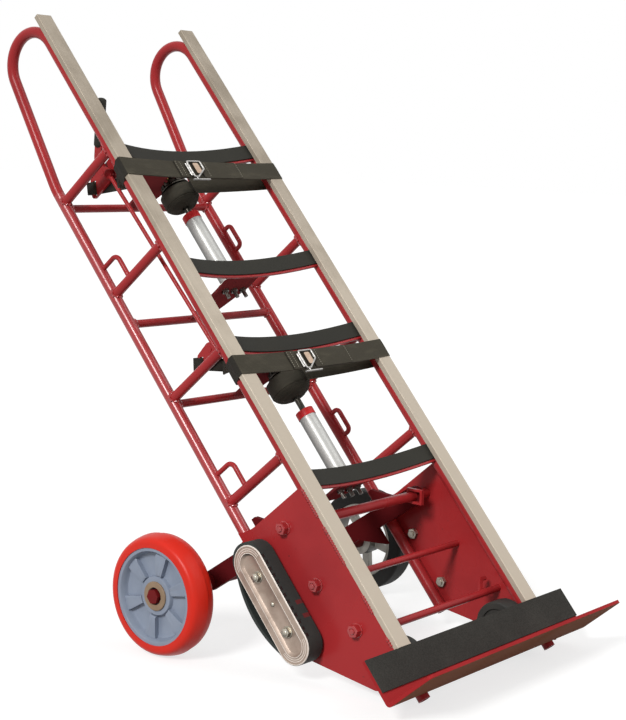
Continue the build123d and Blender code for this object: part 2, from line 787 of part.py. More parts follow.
# Reel plates behind the crossbars: the shafts turn in two of them, the spring tubes stand on the other two
reel_n = -reel_depth
plate_levels = cross_tube_levels + (last_reel_plate_level,)
shaft_plates = (cross_tube_levels[0], cross_tube_levels[2])
base_plates = (cross_tube_levels[1], last_reel_plate_level)
crossbar_rear = -crossbar_setback - crossbar_bow - crossbar_thickness - weld_gap
tube_front = rear_n + cross_tube_radius + weld_gap
shaft_bore = reel_shaft_diameter / 2 + running_clearance
spring_bolt_places = [(step * spring_bolt_offset, reel_n) for step in (-1, 0, 1)]
ratchet_bottoms = [strap + strap_width / 2 + ratchet_gap for strap in strap_levels]
with BuildPart() as reel_plates:
    for plate_level in plate_levels:
        tail_n = tube_front if plate_level in cross_tube_levels else -reel_plate_reach
        with BuildSketch(level(plate_level)):
            with BuildLine():
                Polyline((-reel_plate_left, crossbar_rear), (reel_plate_right, crossbar_rear),
                         (reel_plate_right, reel_n), (reel_plate_tail, tail_n),
                         (-reel_plate_left, tail_n), close=True)
            make_face()
            if plate_level in shaft_plates:
                with Locations((0, reel_n)):
                    Circle(shaft_bore, mode=Mode.SUBTRACT)
            else:
                with Locations(*spring_bolt_places):
                    Circle(spring_bolt_diameter / 2, mode=Mode.SUBTRACT)
        extrude(amount=reel_plate_thickness)
    for plate_level, ratchet_bottom in zip(shaft_plates, ratchet_bottoms):
        with BuildSketch(level(plate_level - reel_plate_thickness)):
            with Locations((pawl_pivot_x, -pawl_pivot_depth)):
                Circle(pawl_pin_diameter / 2)
        extrude(amount=plate_level - reel_plate_thickness - ratchet_bottom + pawl_pin_tail)
save(reel_plates.part, "reel_plates")


def reel_turned(outline):
    """Solid of revolution about the reel axis, from (height, radius) points."""
    with BuildPart() as piece:
        with BuildSketch(side(0)):
            with BuildLine():
                Polyline(*[(s, reel_n + radius) for s, radius in outline], close=True)
            make_face()
        revolve(axis=Axis(heel + forward * reel_n, rail_up))
    return piece.part


# Spring tubes with their caps and bolts
tube_outer = spring_tube_diameter / 2
for name, base, cap_top in zip(reels, base_plates, spring_cap_tops):
    with BuildPart() as spring_tube:
        base_top = base + spring_base_thickness
        add(reel_turned([(base, 0), (base, spring_base_diameter / 2), (base_top, spring_base_diameter / 2),
                         (base_top, tube_outer), (cap_top - spring_cap_height, tube_outer),
                         (cap_top - spring_cap_height, tube_outer - spring_tube_wall),
                         (base_top, tube_outer - spring_tube_wall), (base_top, 0)]))
        with BuildSketch(level(base_top)):
            with Locations(*spring_bolt_places):
                Circle(spring_bolt_diameter / 2)
        extrude(amount=spring_base_thickness, mode=Mode.SUBTRACT)
    save(spring_tube.part, name + "_spring_tube")

with BuildPart() as spring_caps:
    for cap_top in spring_cap_tops:
        with BuildSketch(level(cap_top)):
            with Locations((0, reel_n)):
                Circle(spring_cap_diameter / 2)
                Circle(shaft_bore, mode=Mode.SUBTRACT)
        extrude(amount=spring_cap_height)
save(spring_caps.part, "spring_caps")

with BuildPart() as spring_bolts:
    for base in base_plates:
        base_top = base + spring_base_thickness
        with BuildSketch(level(base_top)):
            with Locations(*spring_bolt_places):
                Circle(spring_bolt_diameter / 2)
        extrude(amount=spring_base_thickness + reel_plate_thickness + spring_bolt_length)
        for seat, way in ((base_top, -1), (base - reel_plate_thickness, 1)):
            with BuildSketch(level(seat)):
                with Locations(*spring_bolt_places):
                    RegularPolygon(spring_bolt_width / 2, 6, major_radius=False)
            extrude(amount=way * spring_bolt_head)
save(spring_bolts.part, "spring_bolts")

# Strap reels: shaft with its ratchet wheel, and the wound strap on it
shaft_radius = reel_shaft_diameter / 2
for name, strap, plate_level, cap_top, ratchet_bottom, roll_diameter in zip(
        reels, strap_levels, shaft_plates, spring_cap_tops, ratchet_bottoms, roll_diameters):
    flange_low = strap + strap_width / 2 + roll_gap
    flange_high = flange_low + roll_flange_thickness
    head_low = plate_level + shaft_head_gap
    with BuildPart() as shaft:
        add(reel_turned([(cap_top - spring_cap_height - shaft_tail, 0),
                         (cap_top - spring_cap_height - shaft_tail, shaft_radius),
                         (flange_low, shaft_radius), (flange_low, roll_flange_diameter / 2),
                         (flange_high, roll_flange_diameter / 2), (flange_high, shaft_radius),
                         (head_low, shaft_radius), (head_low, shaft_head_diameter / 2),
                         (head_low + shaft_head_height, shaft_head_diameter / 2),
                         (head_low + shaft_head_height, 0)]))
        with BuildSketch(level(ratchet_bottom + ratchet_thickness)):
            with Locations((0, reel_n)):
                Circle(ratchet_radius)
                with PolarLocations(ratchet_radius, ratchet_teeth):
                    Rectangle(2 * ratchet_tooth_depth, ratchet_tooth_depth, rotation=ratchet_tooth_lean,
                              mode=Mode.SUBTRACT)
        extrude(amount=ratchet_thickness)
    save(shaft.part, name + "_reel_shaft")
    with BuildPart() as roll:
        with BuildSketch(level(strap + strap_width / 2)):
            with Locations((0, reel_n)):
                Circle(roll_diameter / 2)
                Circle(shaft_radius + roll_gap, mode=Mode.SUBTRACT)
        extrude(amount=strap_width)
    save(roll.part, name + "_strap_roll")

# Pawls beside the ratchet wheels, each on its pin under a reel plate
pawl_pivot = Vector(pawl_pivot_x, -pawl_pivot_depth)
to_reel = Vector(0, reel_n) - pawl_pivot
pawl_way = to_reel.normalized()
pawl_tip = pawl_pivot + pawl_way * (to_reel.length - ratchet_radius - pawl_clearance)
pawl_across = Vector(-pawl_way.Y, pawl_way.X)
for name, ratchet_bottom in zip(reels, ratchet_bottoms):
    with BuildPart() as pawl:
        with BuildSketch(level(ratchet_bottom + ratchet_thickness)):
            with Locations(pawl_pivot):
                Circle(pawl_eye_radius)
            with BuildLine():
                Polyline(pawl_pivot + pawl_across * pawl_eye_radius,
                         pawl_tip + pawl_across * pawl_tip_width / 2,
                         pawl_tip - pawl_across * pawl_tip_width / 2,
                         pawl_pivot - pawl_across * pawl_eye_radius, close=True)
            make_face()
            with Locations(pawl_pivot):
                Circle(pawl_pin_diameter / 2 + running_clearance, mode=Mode.SUBTRACT)
        extrude(amount=ratchet_thickness)
    save(pawl.part, name + "_pawl")

# Straps: from the left rail across the front, round the right rail and back to the roll
strap_middle = strap_clearance + strap_thickness / 2
strap_side = rail_x + strip_width / 2 + strap_middle
strap_bend_radius = strip_round + strap_middle
for name, strap, roll_diameter in zip(reels, strap_levels, roll_diameters):
    with BuildPart() as front_strap:
        with BuildSketch(level(strap + strap_width / 2)):
            with BuildLine():
                FilletPolyline((-strap_side, front_n), (-strap_side, strap_middle),
                               (strap_side, strap_middle), (strap_side, front_n),
                               (rail_x + strap_turn_overlap, front_n - tube_radius - strap_turn_gap),
                               (0, reel_n + roll_diameter / 2 + strap_middle), radius=strap_bend_radius)
            trace(line_width=strap_thickness)
        extrude(amount=strap_width)
    save(front_strap.part, name + "_strap")

# Strap tails, folded to half width: from under each strap's left end, behind the rail, to a slotted crank
crank_outer = crank_offset + crank_thickness / 2
crank_inner = crank_offset - crank_thickness / 2
lever_pivot = (strap_levels[0] + crank_pivot_rise, -crank_pivot_depth)
lower_pivot = (lever_pivot[0] - crank_spacing, lever_pivot[1] + lower_crank_advance)
crank_pivots = (lever_pivot, lower_pivot)
tail_x = -crank_inner + tail_gap + tail_thickness / 2
tail_side = strap_side - tail_tuck
rail_inner = rail_x - tube_radius - tail_gap
loop_half = (crank_slot_width + crank_bar_width) / 2
loop_back = -crank_outer - tail_gap - tail_thickness / 2
tail_ways = []
for name, strap, rise, (pivot_s, pivot_n) in zip(reels, strap_levels, tail_start_rises, crank_pivots):
    begin = Vector(strap + rise, -tail_start_depth)
    slot = Vector(pivot_s - crank_slot_drop, pivot_n - crank_slot_setback)
    way = (slot - begin).normalized()
    tail_ways.append(way)
    tail_end = (slot - begin).length
    turn_run, pass_run, cross_run = [
        (depth - tail_start_depth) / -way.Y
        for depth in (tail_turn_depth, tail_pass_depth, tail_cross_depth)]
    along_tail = rail_up * way.X + forward * way.Y
    tail_plane = Plane(origin=heel + rail_up * begin.X + forward * begin.Y, x_dir=across,
                       z_dir=across.cross(along_tail))
    with BuildPart() as strap_tail:
        with BuildSketch(tail_plane):
            with BuildLine():
                Polyline((-tail_side, 0), (-tail_side + tail_gap, turn_run), (-rail_inner, pass_run),
                         (tail_x, cross_run), (tail_x, tail_end))
            trace(line_width=tail_thickness)
            with Locations(((tail_x + loop_back) / 2, tail_end + loop_half)):
                Rectangle(tail_x - loop_back + tail_thickness, 2 * loop_half + tail_thickness)
                Rectangle(tail_x - loop_back - tail_thickness, 2 * loop_half - tail_thickness,
                          mode=Mode.SUBTRACT)
        extrude(amount=tail_width / 2, both=True)
    save(strap_tail.part, name + "_strap_tail")

# Wire buckles on the front of the straps: a slanted loop, a bar beside it and a hook bar below
wire_n = strap_clearance + strap_thickness + strap_clearance + buckle_wire / 2


def wire_bar(diameter, start_x, start_s, end_x, end_s):
    """Straight round wire between two places on the front of a strap."""
    begin = heel + across * start_x + rail_up * start_s + forward * wire_n
    finish = heel + across * end_x + rail_up * end_s + forward * wire_n
    with BuildPart() as bar:
        with BuildSketch(Plane(origin=begin, z_dir=finish - begin)):
            Circle(diameter / 2)
        extrude(amount=(finish - begin).length)
    return bar.part


buckles = Part()
for strap in strap_levels:
    with BuildPart() as buckle:
        with BuildLine(face(wire_n)) as wire:
            FilletPolyline((buckle_left, strap + buckle_top_rise), (buckle_right, strap + buckle_top_rise),
                           (buckle_right, strap - buckle_slant_drop), (buckle_neck, strap - buckle_neck_drop),
                           (buckle_left, strap - buckle_neck_drop), radius=buckle_corner_radius, close=True)
        with BuildSketch(Plane(origin=wire.line @ 0, z_dir=wire.line % 0)):
            Circle(buckle_wire / 2)
        sweep(path=wire.line)
        add(wire_bar(buckle_wire, buckle_bar_x, strap + buckle_bar_rise,
                     buckle_bar_x, strap - buckle_bar_drop))
        for height in (buckle_bar_rise - buckle_wire, buckle_wire - buckle_bar_drop):
            add(wire_bar(buckle_stub, buckle_bar_x, strap + height, buckle_left, strap + height))
        add(wire_bar(buckle_wire, buckle_hook_left, strap - buckle_hook_drop,
                     buckle_hook_right, strap - buckle_hook_drop))
        add(wire_bar(buckle_stub, buckle_neck - buckle_corner_radius, strap - buckle_neck_drop,
                     buckle_neck - buckle_corner_radius, strap - buckle_hook_drop))
    buckles += buckle.part
save(buckles, "buckles")


# Tightening lever on the left: two slotted cranks on bracket pins, joined by a link rod
def crank(pivot, way):
    """Crank plate turning about pivot, slotted across the tail's way, with a link pin on its outer face."""
    slot = Vector(pivot[0] - crank_slot_drop, pivot[1] - crank_slot_setback)
    slot_across = Vector(-way.Y, way.X) * (tail_width / 2 + crank_slot_margin)
    slot_end = way * (crank_slot_width / 2 + crank_bar_width - crank_corner_radius)
    slot_turn = degrees(atan2(way.Y, way.X))
    link_pin = (pivot[0] - link_drop, pivot[1] + link_advance)
    with BuildPart() as piece:
        with BuildSketch(side(-crank_outer)):
            with Locations(pivot):
                Circle(crank_hub_radius)
            with Locations(link_pin):
                Circle(link_eye_radius)
            with Locations(slot + slot_across + slot_end, slot - slot_across + slot_end):
                Circle(crank_corner_radius)
            make_hull()
            with Locations(pivot):
                Circle(crank_pin_diameter / 2 + running_clearance, mode=Mode.SUBTRACT)
            with Locations(Location((slot.X, slot.Y), slot_turn)):
                Rectangle(crank_slot_width, tail_width + 2 * crank_slot_margin, mode=Mode.SUBTRACT)
        extrude(amount=crank_thickness)
        with BuildSketch(side(-crank_outer)):
            with Locations(link_pin):
                Circle(link_pin_diameter / 2)
        extrude(amount=-(link_rod_offset - crank_outer + link_rod_diameter / 2))
    return piece.part


save(crank(lower_pivot, tail_ways[1]), "lower_crank")
knee = (lever_pivot[0] + lever_knee_rise, -lever_knee_depth)
tip = (lever_pivot[0] + lever_tip_rise, -lever_tip_depth)
with BuildPart() as lever:
    add(crank(lever_pivot, tail_ways[0]))
    with BuildSketch(side(-crank_outer)):
        with BuildLine():
            FilletPolyline(lever_pivot, knee, tip, radius=lever_knee_radius)
        trace(line_width=lever_width)
        with Locations(lever_pivot):
            Circle(crank_hub_radius, mode=Mode.SUBTRACT)
    extrude(amount=crank_thickness)
save(lever.part, "ratchet_lever")

grip_way = (rail_up * (tip[0] - knee[0]) + forward * (tip[1] - knee[1])).normalized()
grip_end = heel + across * -crank_offset + rail_up * tip[0] + forward * tip[1] + grip_way * grip_cap
with BuildPart() as lever_grip:
    with BuildSketch(Plane(origin=grip_end, z_dir=grip_way * -1)):
        Circle(grip_diameter / 2)
    extrude(amount=grip_length)
    for step in range(1, int(grip_length / grip_rib_pitch)):
        with BuildSketch(Plane(origin=grip_end - grip_way * step * grip_rib_pitch, z_dir=grip_way * -1)):
            Circle(grip_diameter / 2)
            Circle(grip_diameter / 2 - grip_groove_depth, mode=Mode.SUBTRACT)
        extrude(amount=grip_groove_width, mode=Mode.SUBTRACT)
    add(lever.part, mode=Mode.SUBTRACT)
save(lever_grip.part, "lever_grip")

link_places = [(pivot_s - link_drop, pivot_n + link_advance) for pivot_s, pivot_n in crank_pivots]
link_ends = [heel + across * -link_rod_offset + rail_up * s + forward * n for s, n in link_places]
with BuildPart() as link_rod:
    with BuildSketch(Plane(origin=link_ends[0], z_dir=link_ends[1] - link_ends[0])):
        Circle(link_rod_diameter / 2)
    extrude(amount=(link_ends[1] - link_ends[0]).length)
    with BuildSketch(side(-link_rod_offset - link_rod_diameter / 2)):
        with Locations(*link_places):
            Circle(link_eye_radius)
    extrude(amount=link_rod_diameter)
    with BuildSketch(side(-link_rod_offset - link_rod_diameter / 2)):
        with Locations(*link_places):
            Circle(link_pin_diameter / 2 + running_clearance)
    extrude(amount=link_rod_diameter, mode=Mode.SUBTRACT)
save(link_rod.part, "link_rod")

# Brackets behind the left rail that carry the cranks' pins, notched round the struts
bracket_x = -crank_inner + bracket_gap + bracket_thickness / 2
bracket_n = front_n - tube_radius - weld_gap - bracket_thickness / 2
with BuildPart() as brackets:
    for pivot_s, pivot_n in crank_pivots:
        with BuildSketch(level(pivot_s + bracket_height / 2)):
            with BuildLine():
                FilletPolyline((-rail_x, bracket_n), (bracket_x, bracket_n), (bracket_x, -bracket_reach),
                               radius=bracket_bend_radius)
            trace(line_width=bracket_thickness)
        extrude(amount=bracket_height)
        with BuildSketch(side(bracket_x - bracket_thickness / 2)):
            with Locations((pivot_s, pivot_n)):
                Circle(crank_pin_diameter / 2)
        extrude(amount=-(bracket_gap + crank_thickness + crank_pin_tail))
    with BuildSketch(face(front_n)):
        with Locations(*[(-rail_x, s) for s in strut_levels]):
            Circle(strut_diameter / 2 + weld_gap)
    extrude(amount=-frame_depth, mode=Mode.SUBTRACT)
save(brackets.part, "lever_brackets")
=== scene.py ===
"""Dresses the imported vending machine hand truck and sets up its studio.

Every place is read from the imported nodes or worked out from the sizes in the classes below, in metres.
"""

import json
import logging
import math
from collections.abc import Iterable, Mapping, Sequence
from dataclasses import dataclass
from enum import Enum
from typing import Any

import bmesh
import bpy
import numpy as np
from mathutils import Matrix, Vector

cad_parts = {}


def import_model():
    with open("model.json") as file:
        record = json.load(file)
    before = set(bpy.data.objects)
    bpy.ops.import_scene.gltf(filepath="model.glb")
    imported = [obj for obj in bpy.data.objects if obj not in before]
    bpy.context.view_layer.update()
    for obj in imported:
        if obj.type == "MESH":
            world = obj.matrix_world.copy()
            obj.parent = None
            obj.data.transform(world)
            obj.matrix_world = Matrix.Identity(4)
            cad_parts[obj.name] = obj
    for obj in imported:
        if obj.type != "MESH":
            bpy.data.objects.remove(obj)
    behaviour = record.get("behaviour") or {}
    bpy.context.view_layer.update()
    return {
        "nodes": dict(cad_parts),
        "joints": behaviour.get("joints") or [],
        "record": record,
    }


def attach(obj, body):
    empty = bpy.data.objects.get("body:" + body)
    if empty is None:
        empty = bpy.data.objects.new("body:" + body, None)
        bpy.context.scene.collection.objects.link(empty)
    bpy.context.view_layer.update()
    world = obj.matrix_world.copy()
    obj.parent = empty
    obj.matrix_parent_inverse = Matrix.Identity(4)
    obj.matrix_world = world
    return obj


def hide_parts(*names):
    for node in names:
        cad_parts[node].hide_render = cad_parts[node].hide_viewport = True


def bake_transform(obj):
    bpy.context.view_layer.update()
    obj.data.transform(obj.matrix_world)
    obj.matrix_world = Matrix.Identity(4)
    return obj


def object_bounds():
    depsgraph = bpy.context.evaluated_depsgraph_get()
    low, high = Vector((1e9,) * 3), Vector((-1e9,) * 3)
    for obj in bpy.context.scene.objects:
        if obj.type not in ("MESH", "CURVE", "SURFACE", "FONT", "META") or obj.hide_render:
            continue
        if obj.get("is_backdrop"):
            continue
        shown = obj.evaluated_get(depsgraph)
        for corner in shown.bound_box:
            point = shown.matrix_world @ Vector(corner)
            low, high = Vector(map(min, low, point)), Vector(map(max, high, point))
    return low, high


log = logging.getLogger("hand_truck")

Colour = tuple[float, float, float]
Triple = tuple[float, float, float]
Pair = tuple[float, float]
Mesh = bmesh.types.BMesh
Vert = bmesh.types.BMVert
Edge = bmesh.types.BMEdge
Face = bmesh.types.BMFace
Material = bpy.types.Material

# Corners nearer than this are one: in a new drawing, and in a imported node.
MERGED = 1e-6
SEAM = 1e-5
# Faces that look this way are turned from the light.
AWAY: Triple = (0.42, 0.30, -0.86)


def tone(red: int, green: int, blue: int) -> Colour:
    """Linear colour of a display colour with channels from 0 to 255."""
    return tuple(((channel / 255 + 0.055) / 1.055) ** 2.4 for channel in (red, green, blue))


class Slot(Enum):
    """The record's material slots."""

    RED_PAINT = "red_paint"
    RAIL_ALUMINIUM = "rail_aluminium"
    BLACK_RUBBER = "black_rubber"
    WEBBING = "webbing"
    CHROME = "chrome"
    GALVANISED = "galvanised"
    BRASS = "brass"
    ZINC = "zinc"
    CAST_COVER = "cast_cover"
    RED_TREAD = "red_tread"
    HUB_PLASTIC = "hub_plastic"
    TYRE_RUBBER = "tyre_rubber"
    CAST_HUB = "cast_hub"
    DARK_RUBBER = "dark_rubber"
    ROLLER_PLASTIC = "roller_plastic"


class Skin(Enum):
    """Skins of a climber cover's rings: the first three by their material's index.

    One skin is a painted highlight on rims and ridges, another is painted shade on the skirt; an end ridge
    takes the painted highlight at the cover's round ends, and is cast along its sides.
    """

    CAST = 0
    RUBBED = 1
    STAINED = 2
    END_RIDGE = 3


class Hand(Enum):
    """The truck's two sides, by the sign of the cross axis."""

    LEFT = -1
    RIGHT = 1

    @property
    def label(self) -> str:
        """The side's name in the nodes."""
        return self.name.lower()


class Socket:
    """An output of a shader graph; arithmetic on it adds Math nodes."""

    def __init__(self, graph: "Graph", output: Any) -> None:
        """Wrap one output of a graph's node."""
        self.graph = graph
        self.output = output

    def math(self, operation: str, first: Any, second: Any = 0.0) -> "Socket":
        """Add a Math node on two numbers or sockets."""
        return self.graph.node("ShaderNodeMath", {"operation": operation}, {0: first, 1: second})

    def __add__(self, other: Any) -> "Socket":
        """Sum with a number or socket."""
        return self.math("ADD", self, other)

    __radd__ = __add__

    def __sub__(self, other: Any) -> "Socket":
        """Difference from a number or socket."""
        return self.math("SUBTRACT", self, other)

    def __rsub__(self, other: Any) -> "Socket":
        """Difference of a number from this."""
        return self.math("SUBTRACT", other, self)

    def __mul__(self, other: Any) -> "Socket":
        """Product with a number or socket."""
        return self.math("MULTIPLY", self, other)

    __rmul__ = __mul__

    def wave(self, pitch: float) -> "Socket":
        """Sine of this length over a pitch."""
        return self.math("SINE", self * (2 * math.pi / pitch))

    def size(self) -> "Socket":
        """This value without its sign."""
        return self.math("ABSOLUTE", self)


class Graph:
    """The node tree of one material or world."""

    def __init__(self, owner: Material | bpy.types.World) -> None:
        """Empty the owner's nodes.

        Args:
            owner: the material or world.
        """
        owner.use_nodes = True
        self.owner = owner
        self.tree = owner.node_tree
        self.tree.nodes.clear()

    @classmethod
    def named(cls, name: str) -> "Graph":
        """The nodes of a new material."""
        return cls(bpy.data.materials.new(name))

    def node(self, kind: str, settings: Mapping[str, Any], sockets: Mapping[Any, Any],
             output: Any = 0) -> Socket:
        """Add a node.

        Args:
            kind: the node's type.
            settings: its properties, set first.
            sockets: values or links, by the inputs' names, identifiers or numbers.
            output: name or number of the output that is wanted.

        Returns:
            The chosen output, or an empty one where the node has none.
        """
        node = self.tree.nodes.new(kind)
        for name, setting in settings.items():
            setattr(node, name, setting)
        by_identifier = {socket.identifier: socket for socket in node.inputs}
        for key, value in sockets.items():
            socket = by_identifier.get(key) or node.inputs[key]
            if isinstance(value, Socket):
                self.tree.links.new(value.output, socket)
            elif socket.type == "RGBA":
                socket.default_value = (*value, 1.0)
            else:
                socket.default_value = value
        return Socket(self, node.outputs[output] if node.outputs else None)

    def place(self, turn: float = 0.0) -> Socket:
        """Object coordinates turned about the cross axis; minus the lean lays the rails along the second."""
        coordinates = self.node("ShaderNodeTexCoord", {}, {}, "Object")
        return self.node("ShaderNodeMapping", {}, {"Vector": coordinates, "Rotation": (turn, 0.0, 0.0)})

    def stretched(self, vector: Socket, scale: Triple) -> Socket:
        """The vector with each axis scaled."""
        return self.node("ShaderNodeVectorMath", {"operation": "MULTIPLY"}, {0: vector, 1: scale})

    def part(self, vector: Socket, axis: str) -> Socket:
        """One component, X, Y or Z, of a vector."""
        return self.node("ShaderNodeSeparateXYZ", {}, {0: vector}, axis)

    def noise(self, vector: Socket, scale: float, detail: float = 3.0) -> Socket:
        """Noise between zero and one, with scale in cells per metre."""
        return self.node("ShaderNodeTexNoise", {}, {"Vector": vector, "Scale": scale, "Detail": detail})

    def crystals(self, vector: Socket, scale: float) -> Socket:
        """A random grey for each crystal, with scale in crystals per metre."""
        colour = self.node("ShaderNodeTexVoronoi", {}, {"Vector": vector, "Scale": scale}, "Color")
        return self.part(colour, "X")

    def fade(self, value: Socket, low: float, high: float) -> Socket:
        """Zero at low and one at high, whichever is greater, smooth between them and level beyond."""
        sockets = {"Value": value, "From Min": low, "From Max": high}
        return self.node("ShaderNodeMapRange", {"interpolation_type": "SMOOTHSTEP"}, sockets)

    def mix(self, factor: Any, first: Any, second: Any) -> Socket:
        """Colour between two colours."""
        sockets = {"Factor_Float": factor, "A_Color": first, "B_Color": second}
        return self.node("ShaderNodeMix", {"data_type": "RGBA"}, sockets, 2)

    def facing(self, way: Triple) -> Socket:
        """How far the surface faces a direction, from minus one to one."""
        normal = self.node("ShaderNodeNewGeometry", {}, {}, "Normal")
        return self.node("ShaderNodeVectorMath", {"operation": "DOT_PRODUCT"}, {0: normal, 1: way}, "Value")

    def bump(self, height: Socket, depth: float, strength: float = 1.0) -> Socket:
        """Normal of a relief whose height runs from zero to depth metres."""
        return self.node("ShaderNodeBump", {}, {"Height": height, "Distance": depth, "Strength": strength})

    def surface(self, sockets: Mapping[str, Any]) -> Material:
        """Close the material with one shader.

        Args:
            sockets: the shader's values or links, by their names.

        Returns:
            The material.
        """
        shader = self.node("ShaderNodeBsdfPrincipled", {}, sockets)
        self.node("ShaderNodeOutputMaterial", {}, {"Surface": shader})
        return self.owner


@dataclass(frozen=True)
class Enamel:
    """Gloss paint over welded steel, with orange peel, soiled patches and small chips.

    A part with painted shade on one side has the direction that this side faces, and the colour of the
    painted shade there.
    """

    name: str
    roughness: float
    shine: float
    colour: Colour = tone(166, 44, 46)
    soiled: Colour = tone(136, 34, 38)
    chip: Colour = tone(84, 40, 38)
    peel: float = 0.15
    # Painted shade on one side: its colour, and the direction that the shaded side faces.
    dull: Colour | None = None
    dull_way: Triple = (0.0, 0.0, -1.0)

    def material(self) -> Material:
        """Build the paint.

        Returns:
            The new material.
        """
        graph = Graph.named(self.name)
        place = graph.place()
        patches = graph.fade(graph.noise(place, 7.0, 4.0), 0.42, 0.78)
        peel = graph.noise(place, 310.0, 1.0)
        chips = graph.fade(graph.noise(place, 95.0, 5.0), 0.725, 0.745)
        painted = graph.mix(patches * 0.55, self.colour, self.soiled)
        roughness = self.roughness + patches * 0.08 + chips * 0.25
        # Painted shade: faces turned that way take the shaded colour, and are rougher.
        if self.dull:
            turned_away = graph.fade(graph.facing(self.dull_way), 0.55, 0.80)
            painted = graph.mix(turned_away, painted, self.dull)
            roughness = roughness + turned_away * 0.35
        return graph.surface({
            "Base Color": graph.mix(chips * 0.75, painted, self.chip),
            "Roughness": roughness,
            "Specular IOR Level": self.shine,
            "Normal": graph.bump(peel - chips * 0.6, 0.0001, self.peel),
        })


@dataclass(frozen=True)
class Extrusion:
    """Satin aluminium strip with fine die lines along the rails, clouded, and brighter towards its foot."""

    name: str
    colour: Colour
    streak: Colour
    lean: float

    def material(self) -> Material:
        """Build the strip's finish.

        Returns:
            The new material.
        """
        graph = Graph.named(self.name)
        along = graph.place(-self.lean)
        lines = graph.noise(graph.stretched(along, (700.0, 14.0, 700.0)), 1.0, 3.0)
        grain = graph.noise(along, 520.0, 3.0)
        clouds = graph.fade(graph.noise(along, 16.0, 3.0), 0.35, 0.75)
        rubbed = graph.fade(graph.part(along, "Y"), 0.95, 0.15)
        streaks = lines * 0.35 + grain * 0.40 + clouds * 0.25 - rubbed * 0.65
        return graph.surface({
            "Base Color": graph.mix(streaks, self.colour, self.streak),
            "Metallic": 0.35,
            "Roughness": 0.46 + lines * 0.12 + clouds * 0.08,
            "Normal": graph.bump(lines + grain * 0.5, 0.0001, 0.15),
        })


@dataclass(frozen=True)
class Rubber:
    """Moulded rubber or poured tread: matt, finely pitted, with patches of dust."""

    name: str
    colour: Colour
    dust: Colour
    roughness: float
    grain: float
    depth: float
    marks: tuple[Triple, ...] = ()
    lean: float = 0.0
    mark: Colour = tone(118, 40, 42)
    mark_half: Triple = (0.0085, 0.0040, 0.0100)

    def material(self) -> Material:
        """Build the rubber, with its paint marks at their places on the rails' axes.

        Returns:
            The new material.
        """
        graph = Graph.named(self.name)
        place = graph.place()
        pits = graph.noise(place, self.grain, 4.0)
        dusting = graph.fade(graph.noise(place, 14.0, 5.0), 0.45, 0.85)
        tint = graph.mix(dusting * 0.5 + pits * 0.15, self.colour, self.dust)
        for centre in self.marks:
            local = graph.place(-self.lean)
            cover: Any = 0.8
            for axis, middle, half in zip("XYZ", centre, self.mark_half):
                away = (graph.part(local, axis) - middle).size()
                cover = graph.fade(away, half * 1.15, half * 0.85) * cover
            tint = graph.mix(cover, tint, self.mark)
        return graph.surface({
            "Base Color": tint,
            "Roughness": self.roughness + dusting * 0.12 - pits * 0.08,
            "Specular IOR Level": 0.22,
            "Normal": graph.bump(pits, self.depth, 0.7),
        })


@dataclass(frozen=True)
class GritFacing:
    """Abrasive facing on the toe plate: black grit bonded to a backing."""

    name: str
    colour: Colour
    worn: Colour

    def material(self) -> Material:
        """Build the facing.

        Returns:
            The new material.
        """
        graph = Graph.named(self.name)
        place = graph.place()
        grit = graph.crystals(place, 620.0)
        lumps = graph.noise(place, 240.0, 4.0)
        wear = graph.fade(graph.noise(place, 11.0, 4.0), 0.40, 0.80)
        return graph.surface({
            "Base Color": graph.mix(grit * 0.35 + wear * 0.30, self.colour, self.worn),
            "Roughness": 0.95 - grit * 0.08,
            "Specular IOR Level": 0.15,
            "Normal": graph.bump(lumps + grit * 0.6, 0.0008, 0.7),
        })


@dataclass(frozen=True)
class Weave:
    """Narrow webbing: ribs across the strap, crossed by the warp, rubbed in patches, with painted shade on
    faces turned to the left.
    """

    name: str
    colour: Colour
    rubbed: Colour
    lean: float
    # Painted shade on faces turned to the left: how far it darkens them, and its colour.
    sideways: float = 0.72
    dark: Colour = (0.010, 0.009, 0.008)
    rib: float = 0.0034
    warp: float = 0.0030

    def material(self) -> Material:
        """Build the webbing; its length is read as the sum of the cross and forward axes.

        Returns:
            The new material.
        """
        graph = Graph.named(self.name)
        local = graph.place(-self.lean)
        length = graph.part(local, "X") + graph.part(local, "Z")
        width = graph.part(local, "Y")
        ribs = length.wave(self.rib) * width.wave(self.warp)
        cords = width.wave(self.warp).size()
        rubbing = graph.fade(graph.noise(graph.stretched(local, (22.0, 70.0, 22.0)), 1.0, 5.0), 0.45, 0.80)
        fuzz = graph.noise(local, 900.0, 2.0)
        lit = graph.mix(ribs * 0.30 + cords * 0.16 + rubbing * 0.40, self.colour, self.rubbed)
        # Painted shade: faces turned to the left are darkened.
        turned_left = graph.fade(graph.facing((-1.0, 0.0, 0.0)), 0.45, 0.80)
        return graph.surface({
            "Base Color": graph.mix(turned_left * self.sideways, lit, self.dark),
            "Roughness": 0.72 + fuzz * 0.18,
            "Specular IOR Level": 0.25,
            "Normal": graph.bump(ribs * 0.5 + cords * 0.5 + fuzz * 0.3, 0.0005, 0.8),
        })


@dataclass(frozen=True)
class Plating:
    """Bright or spangled metal plating over steel, darker where it turns away from the light."""

    name: str
    colour: Colour
    shade: Colour
    roughness: float
    crystal: float
    depth: float = 0.75
    dark: Colour = (0.02, 0.02, 0.018)

    def material(self) -> Material:
        """Build the plated metal.

        Returns:
            The new material.
        """
        graph = Graph.named(self.name)
        place = graph.place()
        spangle = graph.crystals(place, self.crystal)
        haze = graph.noise(place, 60.0, 4.0)
        tarnish = graph.fade(haze, 0.50, 0.80)
        plated = graph.mix(spangle * 0.35 + tarnish * 0.40, self.colour, self.shade)
        turned_away = graph.fade(graph.facing(AWAY), -0.80, 0.0)
        return graph.surface({
            "Base Color": graph.mix(turned_away * self.depth, plated, self.dark),
            "Metallic": 0.9,
            "Roughness": self.roughness + spangle * 0.08 + tarnish * 0.14,
            "Normal": graph.bump(haze, 0.0002, 0.3),
        })


